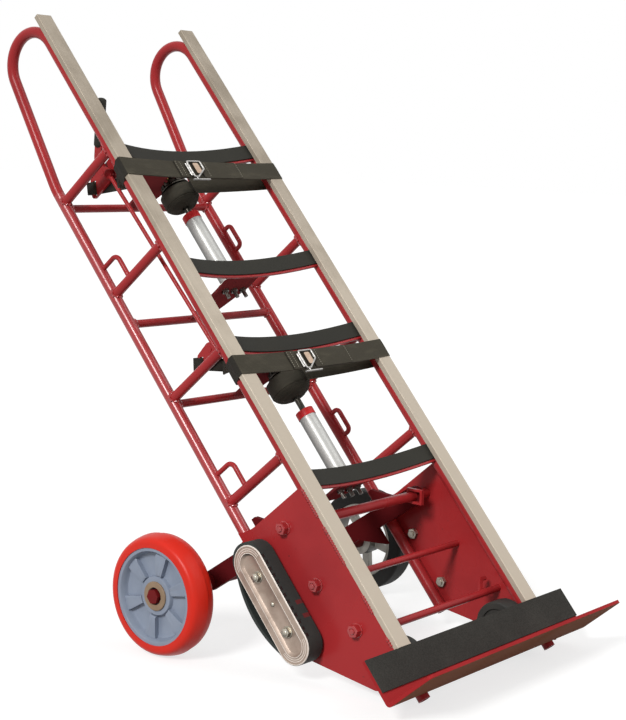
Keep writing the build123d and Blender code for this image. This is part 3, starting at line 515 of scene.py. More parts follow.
@dataclass(frozen=True)
class DrawnTube:
    """Galvanised tube: spangled and drawn lengthwise, with painted shade where it turns away to the rear."""

    name: str
    colour: Colour
    shade: Colour
    lean: float
    rear: Triple

    def material(self) -> Material:
        """Build the tube's skin.

        Returns:
            The new material.
        """
        graph = Graph.named(self.name)
        along = graph.place(-self.lean)
        spangle = graph.crystals(along, 240.0)
        lines = graph.noise(graph.stretched(along, (420.0, 9.0, 420.0)), 1.0, 3.0)
        # Painted shade on the side turned to the rear, mixed with the spangle and the die lines.
        turned_away = graph.fade(graph.facing(self.rear), -0.30, 0.75)
        shading = turned_away * 0.85 + spangle * 0.05 + lines * 0.15
        return graph.surface({
            "Base Color": graph.mix(shading, self.colour, self.shade),
            "Metallic": 0.30,
            "Roughness": 0.34 + spangle * 0.06 + lines * 0.10,
            "Normal": graph.bump(lines, 0.0001, 0.2),
        })


@dataclass(frozen=True)
class Casting:
    """Sand-cast aluminium: a grainy, stained skin, darker where it turns away from the light."""

    name: str
    colour: Colour
    stain: Colour
    metallic: float
    depth: float = 0.85
    dark: Colour = (0.02, 0.018, 0.016)

    def material(self) -> Material:
        """Build the casting's skin.

        Returns:
            The new material.
        """
        graph = Graph.named(self.name)
        place = graph.place()
        sand = graph.noise(place, 520.0, 3.0)
        stains = graph.fade(graph.noise(place, 34.0, 5.0), 0.40, 0.78)
        cast = graph.mix(stains * 0.5 + sand * 0.2, self.colour, self.stain)
        turned_away = graph.fade(graph.facing(AWAY), -0.38, 0.30)
        return graph.surface({
            "Base Color": graph.mix(turned_away * self.depth, cast, self.dark),
            "Metallic": self.metallic,
            "Roughness": 0.36 + sand * 0.16 + stains * 0.10,
            "Normal": graph.bump(sand, 0.0003, 0.15),
        })


@dataclass(frozen=True)
class Moulding:
    """Moulded plastic with a fine satin texture and flow clouds."""

    name: str
    colour: Colour
    cloud: Colour
    roughness: float

    def material(self) -> Material:
        """Build the plastic.

        Returns:
            The new material.
        """
        graph = Graph.named(self.name)
        place = graph.place()
        clouds = graph.fade(graph.noise(place, 26.0, 4.0), 0.35, 0.75)
        texture = graph.noise(place, 700.0, 2.0)
        return graph.surface({
            "Base Color": graph.mix(clouds * 0.5, self.colour, self.cloud),
            "Roughness": self.roughness + texture * 0.15 + clouds * 0.06,
            "Specular IOR Level": 0.30,
            "Normal": graph.bump(texture, 0.0001, 0.3),
        })


class Thread(Moulding):
    """Sewing thread: as plastic, with its twist too fine to show."""


@dataclass(frozen=True)
class Extent:
    """Lowest and highest corner of a node along the truck's own axes."""

    low: Vector
    high: Vector

    @property
    def middle(self) -> Vector:
        """Centre of the box."""
        return (self.low + self.high) / 2

    def span(self, axis: str) -> float:
        """Length of the box along x, y or z."""
        return getattr(self.high, axis) - getattr(self.low, axis)

    def side(self, sign: int) -> float:
        """Place of the box's left side, for a negative sign, or of its right side."""
        return self.low.x if sign < 0 else self.high.x


@dataclass(frozen=True)
class RailFrame:
    """The truck's own axes: across to the right, up the rails and forward to the load.

    Zero is at the toe plate's heel, in the plane of the rail strips' front faces.
    """

    up: Vector
    forward: Vector
    heel: Vector

    @classmethod
    def read(cls, joints: Sequence[Mapping[str, Any]]) -> "RailFrame":
        """Take the axes from the reel joint and the zero from the toe plate and the rail strips.

        Args:
            joints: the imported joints.

        Returns:
            The axes.
        """
        axis = next(joint["axis"] for joint in joints if joint["name"] == "upper_reel_spin")
        up = Vector(axis).normalized()
        forward = Vector((0.0, -up.z, up.y))
        bare = cls(up, forward, Vector())
        heel = up * bare.extent("toe_plate").low.y + forward * bare.extent("left_rail_strip").high.z
        return cls(up, forward, heel)

    @property
    def lean(self) -> float:
        """Angle of the rails above the floor, in radians."""
        return math.atan2(self.up.z, self.up.y)

    @property
    def matrix(self) -> Matrix:
        """Places a mesh drawn on these axes in the world."""
        axes = Matrix((Vector((1.0, 0.0, 0.0)), self.up, self.forward)).transposed()
        return Matrix.Translation(self.heel) @ axes.to_4x4()

    def extent(self, node: str) -> Extent:
        """Box of a node on these axes."""
        points = self._points(node)
        return Extent(Vector(points.min(axis=0)), Vector(points.max(axis=0)))

    def spine(self, node: str) -> tuple[Vector, Vector]:
        """Ends of a long node's middle line, on these axes.

        Args:
            node: the node's name.

        Returns:
            The lower end and the higher one.
        """
        points = self._points(node)
        axes = np.linalg.svd(points - points.mean(axis=0), full_matrices=False)[2]
        axes[0] *= math.copysign(1.0, axes[0][1])
        turned_points = points @ axes.T
        low, high = turned_points.min(axis=0), turned_points.max(axis=0)
        middle = (low + high) / 2
        ends = [np.array((reach, middle[1], middle[2])) @ axes for reach in (low[0], high[0])]
        return Vector(ends[0]), Vector(ends[1])

    def _points(self, node: str) -> np.ndarray:
        """A node's corners on these axes.

        Args:
            node: the node's name.

        Returns:
            A row for each corner.
        """
        points = np.array([vertex.co for vertex in bpy.data.objects[node].data.vertices])
        axes = np.array([(1.0, 0.0, 0.0), self.up, self.forward])
        return (points - np.array(self.heel)) @ axes.T


def join(target: Mesh, part: Mesh) -> None:
    """Move one drawing into another and free it.

    Args:
        target: the drawing that takes the other.
        part: the drawing that is moved.
    """
    data = bpy.data.meshes.new("part")
    part.to_mesh(data)
    part.free()
    target.from_mesh(data)
    bpy.data.meshes.remove(data)


def placed(mesh: Mesh, matrix: Matrix) -> Mesh:
    """Move a drawing by a transform, and hand it on."""
    bmesh.ops.transform(mesh, matrix=matrix, verts=mesh.verts)
    return mesh


def lifted(mesh: Mesh, height: float) -> Mesh:
    """Move a drawing along the third axis, and hand it on."""
    return placed(mesh, Matrix.Translation((0.0, 0.0, height)))


def outward(mesh: Mesh) -> Mesh:
    """Turn a drawing's faces one way, outwards where it is closed, and hand it on."""
    bmesh.ops.recalc_face_normals(mesh, faces=mesh.faces)
    return mesh


def only(kind: type, items: Iterable[Any]) -> list[Any]:
    """The vertices, the edges or the faces in what an operator hands back."""
    return [item for item in items if isinstance(item, kind)]


def run_along(edge: Edge, axis: str) -> float:
    """How far an edge runs along an axis."""
    first, second = edge.verts
    return abs(getattr(first.co, axis) - getattr(second.co, axis))


def rounded(mesh: Mesh, geom: Sequence[Any], width: float, segments: int, affect: str = "EDGES",
            clamp: bool = False) -> None:
    """Round edges, or the corners of a line.

    Args:
        mesh: the drawing.
        geom: the edges or corners.
        width: how far the rounding reaches from each.
        segments: facets of the rounding.
        affect: EDGES or VERTICES.
        clamp: hold back roundings that would cross.
    """
    bmesh.ops.bevel(mesh, geom=geom, offset=width, offset_type="OFFSET", segments=segments, profile=0.5,
                    affect=affect, material=-1, clamp_overlap=clamp)


def turned(profile: Sequence[Pair], steps: int) -> Mesh:
    """Lathe work about the third axis.

    Args:
        profile: (radius, height) corners, in order; it is closed on itself unless an end is on the axis.
        steps: facets round the axis.

    Returns:
        The turned drawing.
    """
    mesh = bmesh.new()
    corners = [mesh.verts.new((radius, 0.0, height)) for radius, height in profile]
    runs = list(zip(corners, corners[1:]))
    if profile[0][0] > 0 and profile[-1][0] > 0:
        runs.append((corners[-1], corners[0]))
    edges = [mesh.edges.new(run) for run in runs]
    bmesh.ops.spin(mesh, geom=corners + edges, cent=(0, 0, 0), axis=(0, 0, 1), angle=2 * math.pi,
                   steps=steps, use_merge=True)
    bmesh.ops.remove_doubles(mesh, verts=mesh.verts, dist=MERGED)
    return outward(mesh)


def stud(radius: float, base: float, top: float, ease: Pair, steps: int) -> Mesh:
    """A round plug on the third axis, eased round its top.

    Args:
        radius: its radius.
        base: height of its foot.
        top: height of its top.
        ease: how far the easing reaches in from the side and down from the top.
        steps: facets round the axis.

    Returns:
        The drawing.
    """
    inward, down = ease
    side = [(radius, base), (radius, top - down), (radius - inward, top)]
    return turned([(0.0, base), *side, (0.0, top)], steps)


def hexagon(across_flats: float, height: float, chamfer: float) -> Mesh:
    """Hexagon head on the third axis, standing on zero, with its top corners eased.

    Args:
        across_flats: width between flats.
        height: thickness of the head.
        chamfer: ease of the top edges.

    Returns:
        The drawing.
    """
    mesh = bmesh.new()
    radius = across_flats / math.sqrt(3)
    bmesh.ops.create_cone(mesh, cap_ends=True, segments=6, radius1=radius, radius2=radius, depth=height)
    lifted(mesh, height / 2)
    rim = [edge for edge in mesh.edges if all(vert.co.z > height / 2 for vert in edge.verts)]
    rounded(mesh, rim, chamfer, 2)
    return mesh


def across(quarters: int, point: Vector) -> Matrix:
    """Stands a drawing made on the third axis at a point, turned about the second axis.

    Args:
        quarters: quarter turns; one points it right, minus one left and two to the rear.
        point: where the drawing's zero goes, on the truck's axes.

    Returns:
        The transform on the truck's axes.
    """
    return Matrix.Translation(point) @ Matrix.Rotation(quarters * math.pi / 2, 4, "Y")


@dataclass
class Workshop:
    """Makes pieces of drawings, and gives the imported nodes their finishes."""

    rails: RailFrame
    nodes: Mapping[str, bpy.types.Object]
    finishes: Mapping[Slot, Material]
    ease_angle: float = math.radians(40)
    sharp_angle: float = math.radians(38)

    def dress(self, record: Mapping[str, Any], own: Mapping[str, Material]) -> None:
        """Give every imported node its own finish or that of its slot.

        Args:
            record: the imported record, which names each node's slot.
            own: finishes of single nodes.
        """
        for subpart in record["subparts"]:
            node = subpart["node"]
            finish = own.get(node) or self.finishes[Slot(subpart["material_slot"])]
            self.nodes[node].material_slots[0].material = finish

    def ease(self, name: str, width: float) -> None:
        """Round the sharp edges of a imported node.

        Args:
            name: the node.
            width: radius of the rounding.
        """
        node = self.nodes[name]
        weld = node.modifiers.new("merge", "WELD")
        weld.merge_threshold = SEAM
        bevel = node.modifiers.new("ease", "BEVEL")
        bevel.width = width
        bevel.segments = 2
        bevel.limit_method = "ANGLE"
        bevel.angle_limit = self.ease_angle
        normals = node.modifiers.new("normals", "WEIGHTED_NORMAL")
        normals.keep_sharp = True

    def piece(self, name: str, mesh: Mesh, slot: Slot, body: str, replaced: Sequence[str] = (),
              finish: Material | None = None) -> bpy.types.Object:
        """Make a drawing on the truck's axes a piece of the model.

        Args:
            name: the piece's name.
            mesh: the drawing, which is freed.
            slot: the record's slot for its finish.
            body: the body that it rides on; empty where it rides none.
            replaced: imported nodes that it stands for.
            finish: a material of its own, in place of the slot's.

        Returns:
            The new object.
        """
        placed(mesh, self.rails.matrix)
        for face in mesh.faces:
            face.smooth = True
        data = bpy.data.meshes.new(name)
        mesh.to_mesh(data)
        mesh.free()
        data.set_sharp_from_angle(angle=self.sharp_angle)
        data.materials.append(finish or self.finishes[slot])
        piece = bpy.data.objects.new(name, data)
        bpy.context.scene.collection.objects.link(piece)
        if body:
            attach(piece, body)
        if replaced:
            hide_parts(*replaced)
        log.info("%s: %d faces on %s", name, len(data.polygons), body or "two bodies")
        return piece


@dataclass(frozen=True)
class WeldBead:
    """A hand-laid bead, with a ripple for each drop of weld."""

    radius: float = 0.0032
    ripple: float = 0.0052
    swell: float = 0.26
    end_share: float = 0.35
    sides: int = 8
    rings: int = 4

    def run(self, start: Vector, end: Vector) -> Mesh:
        """A straight bead between two points, thinner at both ends.

        Args:
            start: middle of one end.
            end: middle of the other.

        Returns:
            The drawing.
        """
        way = end - start
        mesh = bmesh.new()
        bmesh.ops.create_cone(mesh, cap_ends=True, segments=self.sides, radius1=self.radius,
                              radius2=self.radius, depth=way.length)
        long_edges = [edge for edge in mesh.edges if run_along(edge, "z") > self.radius]
        drops = max(2, round(way.length / self.ripple))
        bmesh.ops.subdivide_edges(mesh, edges=long_edges, cuts=self.rings * drops - 1)
        for vert in mesh.verts:
            to_end = way.length / 2 - abs(vert.co.z)
            end_ease = min(1.0, self.end_share + to_end / (2 * self.radius))
            swelling = 1 + self.swell * math.sin(2 * math.pi * vert.co.z / self.ripple)
            vert.co.x *= swelling * end_ease
            vert.co.y *= swelling * end_ease
        turn = Vector((0, 0, 1)).rotation_difference(way).to_matrix().to_4x4()
        return placed(mesh, Matrix.Translation((start + end) / 2) @ turn)

    def ring(self, round_radius: float, saddle_radius: float) -> Mesh:
        """A bead round a tube's end on the third axis, coped to a tube along the second axis.

        Args:
            round_radius: outer radius of the tube that ends here.
            saddle_radius: radius of the tube that it stands on, whose axis is through zero.

        Returns:
            The drawing, with the saddle's crown at its radius on the third axis.
        """
        mesh = bmesh.new()
        bmesh.ops.create_circle(mesh, segments=self.sides, radius=self.radius)
        placed(mesh, Matrix.Translation((round_radius, 0, 0)) @ Matrix.Rotation(math.pi / 2, 4, "X"))
        drops = round(2 * math.pi * round_radius / self.ripple)
        bmesh.ops.spin(mesh, geom=mesh.verts[:] + mesh.edges[:], cent=(0, 0, 0), axis=(0, 0, 1),
                       angle=2 * math.pi, steps=self.rings * drops, use_merge=True)
        bmesh.ops.remove_doubles(mesh, verts=mesh.verts, dist=MERGED)
        for vert in mesh.verts:
            angle = math.atan2(vert.co.y, vert.co.x)
            middle = Vector((math.cos(angle), math.sin(angle), 0)) * round_radius
            offset = (vert.co - middle) * (1 + self.swell * math.sin(drops * angle))
            reach = min(abs(middle.x), saddle_radius)
            vert.co = middle + offset + Vector((0, 0, math.sqrt(saddle_radius ** 2 - reach ** 2)))
        return outward(mesh)


@dataclass(frozen=True)
class SideFrames:
    """Weld beads of the bent side tubes, their struts, the cross tubes and the side plates.

    Levels and stitches are heights up the rails.
    """

    shop: Workshop
    strut_levels: tuple[float, ...] = (1.170, 0.948, 0.708, 0.480)
    strut_radius: float = 0.0095
    cross_levels: tuple[float, ...] = (1.158, 0.881, 0.698)
    cross_radius: float = 0.00795
    front_stitches: tuple[Pair, ...] = ((0.407, 0.345), (0.330, 0.250), (0.195, 0.155), (0.112, 0.090))
    rear_stitches: tuple[Pair, ...] = ((0.404, 0.360), (0.300, 0.235), (0.205, 0.170))

    def build(self) -> None:
        """Lay every bead of the two side frames in one piece."""
        bead = WeldBead()
        rails = self.shop.rails
        mesh = bmesh.new()
        for hand in Hand:
            front = rails.extent(hand.label + "_front_tube")
            rear = rails.extent(hand.label + "_rear_tube")
            plate = rails.extent(hand.label + "_side_plate")
            joints = [(tube, level, self.strut_radius, quarters) for level in self.strut_levels
                      for tube, quarters in ((front, 2), (rear, 0))]
            joints += [(rear, level, self.cross_radius, -hand.value) for level in self.cross_levels]
            for tube, level, radius, quarters in joints:
                saddle = across(quarters, Vector((tube.middle.x, level, tube.middle.z)))
                join(mesh, placed(bead.ring(radius, front.span("x") / 2), saddle))
            outer = plate.side(hand.value)
            for stitches, edge in ((self.front_stitches, plate.high.z), (self.rear_stitches, plate.low.z)):
                seat = edge - bead.radius / 2
                for high, low in stitches:
                    join(mesh, bead.run(Vector((outer, high, seat)), Vector((outer, low, seat))))
        gloss = Enamel("weld_enamel", 0.08, 0.60).material()
        self.shop.piece("frame_welds", mesh, Slot.RED_PAINT, "frame", finish=gloss)


@dataclass(frozen=True)
class PlateBolts:
    """Nuts on washers at the ends of the cross rods, with the rods' ends in them, all painted over."""

    shop: Workshop
    across_flats: float = 0.0205
    nut: float = 0.0115
    chamfer: float = 0.0020
    recess: float = 0.0016
    recess_wall: float = 0.0026
    recess_taper: float = 0.00064
    washer_radius: float = 0.0128
    washer: float = 0.0024
    washer_ease: Pair = (0.00072, 0.00072)
    washer_steps: int = 28
    rod_radius: float = 0.0052
    rod_end: float = 0.0022
    rod_ease: Pair = (0.001456, 0.00132)
    rod_steps: int = 20

    def build(self) -> None:
        """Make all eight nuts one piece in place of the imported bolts."""
        rails = self.shop.rails
        mesh = bmesh.new()
        for rod in ("pivot_rod", "mid_rod", "lower_rod", "front_axle"):
            middle = rails.extent(rod).middle
            for hand in Hand:
                face = rails.extent(hand.label + "_side_plate").side(hand.value)
                join(mesh, placed(self._nut(), across(hand.value, Vector((face, middle.y, middle.z)))))
        gloss = Enamel("nut_enamel", 0.08, 0.60).material()
        self.shop.piece("painted_nuts", mesh, Slot.RED_PAINT, "frame", ["plate_bolts"], gloss)

    def _nut(self) -> Mesh:
        """A washer, a nut with a recessed face and the rod's rounded end in it.

        Returns:
            The drawing on the third axis.
        """
        mesh = stud(self.washer_radius, 0.0, self.washer, self.washer_ease, self.washer_steps)
        nut = hexagon(self.across_flats, self.nut, self.chamfer)
        top = max(nut.faces, key=lambda face: face.calc_center_median().z)
        for wall, depth in ((self.recess_wall, 0.0), (self.recess_taper, -self.recess)):
            bmesh.ops.inset_region(nut, faces=[top], thickness=wall, depth=depth, use_even_offset=True)
        join(mesh, lifted(nut, self.washer))
        end = self.washer + self.nut + self.rod_end
        join(mesh, stud(self.rod_radius, self.washer, end, self.rod_ease, self.rod_steps))
        return mesh


@dataclass(frozen=True)
class StairClimbers:
    """The stair climbers' pitted slack belts, their ridged cast covers and the bolts through them.

    Steps give each ring's width, its rise and its skin. Belt marks are places on the truck's axes.
    """

    shop: Workshop
    skirt: float = 0.0080
    steps: tuple[tuple[float, float, Skin], ...] = (
        (0.0012, 0.0012, Skin.RUBBED), (0.0012, 0.0, Skin.RUBBED), (0.0006, -0.0008, Skin.CAST),
        (0.0030, 0.0, Skin.CAST), (0.0012, 0.0, Skin.END_RIDGE), (0.0024, 0.0, Skin.CAST),
        (0.0012, 0.0, Skin.END_RIDGE), (0.0022, 0.0, Skin.CAST), (0.0005, 0.0008, Skin.CAST),
        (0.0013, 0.0, Skin.RUBBED), (0.0036, -0.0048, Skin.CAST), (0.0016, -0.0010, Skin.CAST))
    cover_rim: float = 0.0010
    cover_facets: int = 56
    belt: float = 0.0060
    belt_facets: int = 44
    belt_lift: float = 0.0052
    belt_rise: float = 0.0025
    belt_marks: tuple[Triple, ...] = ((-0.2300, 0.2495, -0.1300), (-0.2300, 0.2230, -0.1300))
    pit_pitch: float = 0.0125
    pit_width: float = 0.0080
    pit_edge: float = 0.0016
    pit_depth: float = 0.0040
    bolt_spacing: float = 0.110
    head_flats: float = 0.0160
    head: float = 0.0070
    head_chamfer: float = 0.0018
    crown_radius: float = 0.00576
    crown: float = 0.0021
    washer_radius: float = 0.0108
    washer: float = 0.0020
    washer_ease: Pair = (0.000648, 0.0008)
    round_steps: int = 28
    rivet_radius: float = 0.0042
    rivet: float = 0.00294
    nut_flats: float = 0.0190
    nut: float = 0.0080
    nut_chamfer: float = 0.0015
    shank_radius: float = 0.0060
    shank_end: float = 0.0110
    shank_steps: int = 20

    def build(self) -> None:
        """Make both covers, both belts and all the fasteners."""
        rails = self.shop.rails
        # The ridges' near-white finish is a painted highlight, and the skirt's near-black finish is painted
        # shade.
        ridge = Casting("rubbed_ridge", tone(232, 222, 212), tone(200, 186, 174), 0.10, 0.0).material()
        skirt = Casting("stained_skirt", tone(24, 24, 22), tone(16, 16, 15), 0.10).material()
        zero = Vector((0.0, rails.heel.dot(rails.up), rails.heel.dot(rails.forward)))
        marks = tuple(tuple(zero + Vector(mark)) for mark in self.belt_marks)
        rubber = Rubber("belt_rubber", tone(50, 55, 53), tone(70, 75, 71), 0.70, 600.0, 0.0002, marks,
                        rails.lean).material()
        fasteners = bmesh.new()
        for hand in Hand:
            node = hand.label + "_climber_cover"
            cover = rails.extent(node)
            foot = Vector((cover.side(-hand.value), cover.middle.y, cover.middle.z))
            run = cover.span("y") - cover.span("z")
            casting = placed(self._cover(cover.span("z") / 2 + self.cover_rim, run), across(hand.value, foot))
            shell = self.shop.piece(hand.label + "_cast_cover", casting, Slot.CAST_COVER, "frame", [node])
            for finish in (ridge, skirt):
                shell.data.materials.append(finish)
            self._fit_belt(hand, foot, run, rubber)
            self._fasten(fasteners, hand, foot)
        self.shop.piece("climber_fasteners", fasteners, Slot.ZINC, "frame", ["climber_bolts"])

    def _fit_belt(self, hand: Hand, foot: Vector, run: float, rubber: Material) -> None:
        """Make one side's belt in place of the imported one.

        Args:
            hand: the side.
            foot: middle of the cover's foot.
            run: length of the cover's straight sides.
            rubber: the belt's finish.
        """
        node = hand.label + "_climber_belt"
        belt = self.shop.rails.extent(node)
        outer = belt.high.z - foot.z - self.belt_lift
        sag = (foot.z - belt.low.z - outer) * hand.value
        band = self._belt(outer, run + 2 * self.belt_rise, belt.span("x") + self.skirt, sag)
        seat = Vector((belt.side(-hand.value), foot.y + self.belt_rise, foot.z))
        self.shop.piece(hand.label + "_slack_belt", placed(band, across(hand.value, seat)), Slot.BLACK_RUBBER,
                        "frame", [node], rubber)

    def _fasten(self, mesh: Mesh, hand: Hand, foot: Vector) -> None:
        """Put two bolts with their nuts, and a rivet, through one side's cover.

        Args:
            mesh: the drawing that takes them.
            hand: the side.
            foot: middle of the cover's foot.
        """
        side = hand.value
        inside = self.shop.rails.extent(hand.label + "_side_plate").side(-side)
        outside = foot.x + side * (self.skirt + sum(rise for _, rise, _ in self.steps))
        length = abs(outside - inside) + self.shank_end
        shank = [(0.0, 0.0), (self.shank_radius, 0.0), (self.shank_radius, length), (0.0, length)]
        for step in (-0.5, 0.5):
            height = foot.y + step * self.bolt_spacing
            for part, way, x in ((self._head(), side, outside),
                                 (hexagon(self.nut_flats, self.nut, self.nut_chamfer), -side, inside),
                                 (turned(shank, self.shank_steps), side, inside - side * self.shank_end)):
                join(mesh, placed(part, across(way, Vector((x, height, foot.z)))))
        rivet = self._dome(self.rivet_radius, self.rivet)
        join(mesh, placed(rivet, across(side, Vector((outside, foot.y, foot.z)))))

    @staticmethod
    def _stadium(facets: int, radius: float, run: float) -> Mesh:
        """A flat stadium with its length along the second axis, facing up the third.

        Args:
            facets: facets of both round ends together.
            radius: radius of its round ends.
            run: length of its straight sides.

        Returns:
            The drawing, of one face.
        """
        mesh = bmesh.new()
        bmesh.ops.create_circle(mesh, cap_ends=True, segments=facets, radius=radius)
        half_facet = Matrix.Rotation(math.pi / facets, 3, "Z")
        bmesh.ops.rotate(mesh, verts=mesh.verts, cent=(0, 0, 0), matrix=half_facet)
        for vert in mesh.verts:
            vert.co.y += math.copysign(run / 2, vert.co.y)
        mesh.normal_update()
        bmesh.ops.reverse_faces(mesh, faces=[face for face in mesh.faces if face.normal.z < 0])
        return mesh

    def _cover(self, radius: float, run: float) -> Mesh:
        """A stadium-shaped casting, ridged by insets.

        Args:
            radius: radius of its round ends.
            run: length of its straight sides.

        Returns:
            The drawing, standing on zero.
        """
        mesh = self._stadium(self.cover_facets, radius, run)
        foot = mesh.faces[:][0]
        foot_edges = foot.edges[:]
        top = only(Face, bmesh.ops.extrude_face_region(mesh, geom=[foot])["geom"])[0]
        bmesh.ops.translate(mesh, verts=top.verts, vec=(0, 0, self.skirt))
        mesh.normal_update()
        # Every face starts with the skirt's painted shade.
        for face in mesh.faces:
            face.material_index = Skin.STAINED.value
        for width, rise, skin in self.steps:
            ring = bmesh.ops.inset_region(mesh, faces=[top], thickness=width, depth=rise,
                                          use_even_offset=True)
            for face in ring["faces"]:
                # Rims and ridges take the painted highlight; an end ridge takes it only at the round ends.
                at_end = abs(face.calc_center_median().y) > run / 2
                rubbed = skin is Skin.RUBBED or (skin is Skin.END_RIDGE and at_end)
                face.material_index = (Skin.RUBBED if rubbed else Skin.CAST).value
        top.material_index = Skin.CAST.value
        bmesh.ops.holes_fill(mesh, edges=foot_edges)
        return outward(mesh)

    def _belt(self, radius: float, run: float, width: float, sag: float) -> Mesh:
        """A belt with a row of pits along its tight side, slack on the other.

        Args:
            radius: outer radius of its round ends.
            run: length of its straight sides.
            width: the belt's width.
            sag: bow of the slack side; its sign is that of the slack side on the first axis.

        Returns:
            The drawing, standing on zero.
        """
        mesh = self._stadium(self.belt_facets, radius, run)
        for edge in [edge for edge in mesh.edges if edge.calc_length() > run / 2]:
            bmesh.ops.subdivide_edges(mesh, edges=[edge], cuts=2 * round(run / self.pit_pitch) - 1)
        middle = mesh.faces[:][0]
        bmesh.ops.inset_region(mesh, faces=[middle], thickness=self.belt, use_even_offset=True,
                               use_boundary=True)
        bmesh.ops.delete(mesh, geom=[middle], context="FACES_ONLY")
        tops = mesh.faces[:]
        for layer in (width - self.pit_edge - self.pit_width, self.pit_width, self.pit_edge):
            below = tops
            grown = bmesh.ops.extrude_face_region(mesh, geom=below, use_keep_orig=True)["geom"]
            bmesh.ops.translate(mesh, verts=only(Vert, grown), vec=(0, 0, layer))
            tops = only(Face, grown)
            if below[0].calc_center_median().z > 0:
                bmesh.ops.delete(mesh, geom=below, context="FACES_ONLY")
        row = self._tight_row(outward(mesh), width - self.pit_edge - self.pit_width / 2, run, sag)
        pits = bmesh.ops.extrude_discrete_faces(mesh, faces=row[::2])["faces"]
        bmesh.ops.translate(mesh, verts=[vert for face in pits for vert in face.verts],
                            vec=(math.copysign(self.pit_depth, sag), 0, 0))
        for vert in mesh.verts:
            if vert.co.x * sag > 0 and abs(vert.co.y) < run / 2:
                vert.co.x += sag * (1 - (2 * vert.co.y / run) ** 2)
        return outward(mesh)

    @staticmethod
    def _tight_row(mesh: Mesh, level: float, run: float, sag: float) -> list[Face]:
        """The outer faces of a belt's tight side at one level, in order along it.

        Args:
            mesh: the belt.
            level: height of the faces' middles on the third axis.
            run: length of the belt's straight sides.
            sag: bow of the slack side, which lies opposite.

        Returns:
            The faces.
        """
        row = []
        for face in mesh.faces:
            spot = face.calc_center_median()
            outer = spot.x * sag < 0 and face.normal.x * sag < -0.99 * abs(sag)
            if outer and abs(spot.z - level) < MERGED and abs(spot.y) < run / 2:
                row.append(face)
        return sorted(row, key=lambda face: face.calc_center_median().y)

    def _head(self) -> Mesh:
        """A hexagon head on a washer, crowned in the middle.

        Returns:
            The drawing on the third axis, standing on zero.
        """
        mesh = stud(self.washer_radius, 0.0, self.washer, self.washer_ease, self.round_steps)
        join(mesh, lifted(hexagon(self.head_flats, self.head, self.head_chamfer), self.washer))
        join(mesh, lifted(self._dome(self.crown_radius, self.crown), self.washer + self.head))
        return mesh

    def _dome(self, radius: float, height: float) -> Mesh:
        """A dome with a short straight rim, on the third axis.

        Args:
            radius: its radius.
            height: its height, of which the rim takes a fifth.

        Returns:
            The drawing, sunk by its rim.
        """
        rim = height / 5
        arc = [(radius * math.cos(angle), rim + (height - rim) * math.sin(angle))
               for angle in (0.0, 0.3, 0.6, 0.9, 1.2)]
        return turned([(0.0, -rim), (radius, -rim), *arc, (0.0, height)], self.round_steps)


@dataclass(frozen=True)
class ReelPlateEar:
    """The ear on the left of the upper reel plate, with its outer corners rounded."""

    shop: Workshop
    low: Triple = (-0.1200, 1.1285, -0.0850)
    high: Triple = (-0.0430, 1.1335, -0.0455)
    corner: float = 0.0080
    edge: float = 0.0004

    def build(self) -> None:
        """Cut the ear and round its corners and edges."""
        low, high = Vector(self.low), Vector(self.high)
        mesh = bmesh.new()
        bmesh.ops.create_cube(mesh, size=1.0)
        bmesh.ops.scale(mesh, verts=mesh.verts, vec=high - low)
        placed(mesh, Matrix.Translation((low + high) / 2))
        corners = [edge for edge in mesh.edges if run_along(edge, "y") > MERGED
                   and all(vert.co.x < low.x + MERGED for vert in edge.verts)]
        rounded(mesh, corners, self.corner, 5)
        rounded(mesh, mesh.edges[:], self.edge, 1)
        finish = self.shop.nodes["reel_plates"].data.materials[0]
        self.shop.piece("upper_plate_ear", outward(mesh), Slot.RED_PAINT, "frame", finish=finish)


@dataclass(frozen=True)
class StrapRolls:
    """The wound straps on the reels, with every turn showing at the ends and the core let down into a cone.

    The edge section gives, for each corner of a turn's edge, its share of the layer and how many edge
    roundings it lies low.
    """

    shop: Workshop
    slips: tuple[tuple[str, float], ...] = (("upper", 0.007), ("lower", 0.013))
    turns: int = 14
    core_radius: float = 0.0062
    edge_round: float = 0.0006
    edge_section: tuple[tuple[float, int], ...] = ((0.08, 1), (0.30, 0), (0.70, 0), (0.92, 1))
    crown: float = 0.0006
    shoulder: float = 0.0100
    bowl: float = 0.97
    steps: int = 72

    def build(self) -> None:
        """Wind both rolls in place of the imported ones."""
        rails = self.shop.rails
        webbing = Weave("wound_webbing", tone(52, 49, 41), tone(84, 79, 67), rails.lean, 0.0).material()
        for name, slip in self.slips:
            node = name + "_strap_roll"
            extent = rails.extent(node)
            upright = Matrix.Translation(extent.middle) @ Matrix.Rotation(-math.pi / 2, 4, "X")
            mesh = placed(self._roll(extent.span("x") / 2, extent.span("y") / 2, slip), upright)
            self.shop.piece(name + "_wound_strap", mesh, Slot.WEBBING, name + "_reel", [node], webbing)

    def _roll(self, outer: float, half: float, drop: float) -> Mesh:
        """Turn the roll's section, then draw each turn inwards by its thickness once round.

        Args:
            outer: radius of the roll.
            half: half of the strap's width.
            drop: how far the inner turns have slipped down.

        Returns:
            The drawing on the third axis, with the cone at its lower end.
        """
        layer = (outer - self.core_radius) / (self.turns + 1)
        top, bottom = [], []
        for turn in range(self.turns):
            near = self.core_radius + layer * (turn + 1)
            slip = self.crown * ((turn * 7) % 5) / 5
            fall = 1 - math.sqrt(1 - (self.bowl * (turn / (self.turns - 1))) ** 2)
            for ends, reach in ((top, half - slip - self.shoulder * fall),
                                (bottom, half - slip + drop - (drop + self.shoulder) * fall)):
                ends.extend((near + layer * share, reach - low * self.edge_round)
                            for share, low in self.edge_section)
        mesh = turned(top + [(radius, -height) for radius, height in reversed(bottom)], self.steps)
        for vert in mesh.verts:
            share = (math.atan2(vert.co.y, vert.co.x) / (2 * math.pi)) % 1.0
            radius = vert.co.to_2d().length
            vert.co.xy = vert.co.xy * ((radius - layer * share) / radius)
        return mesh


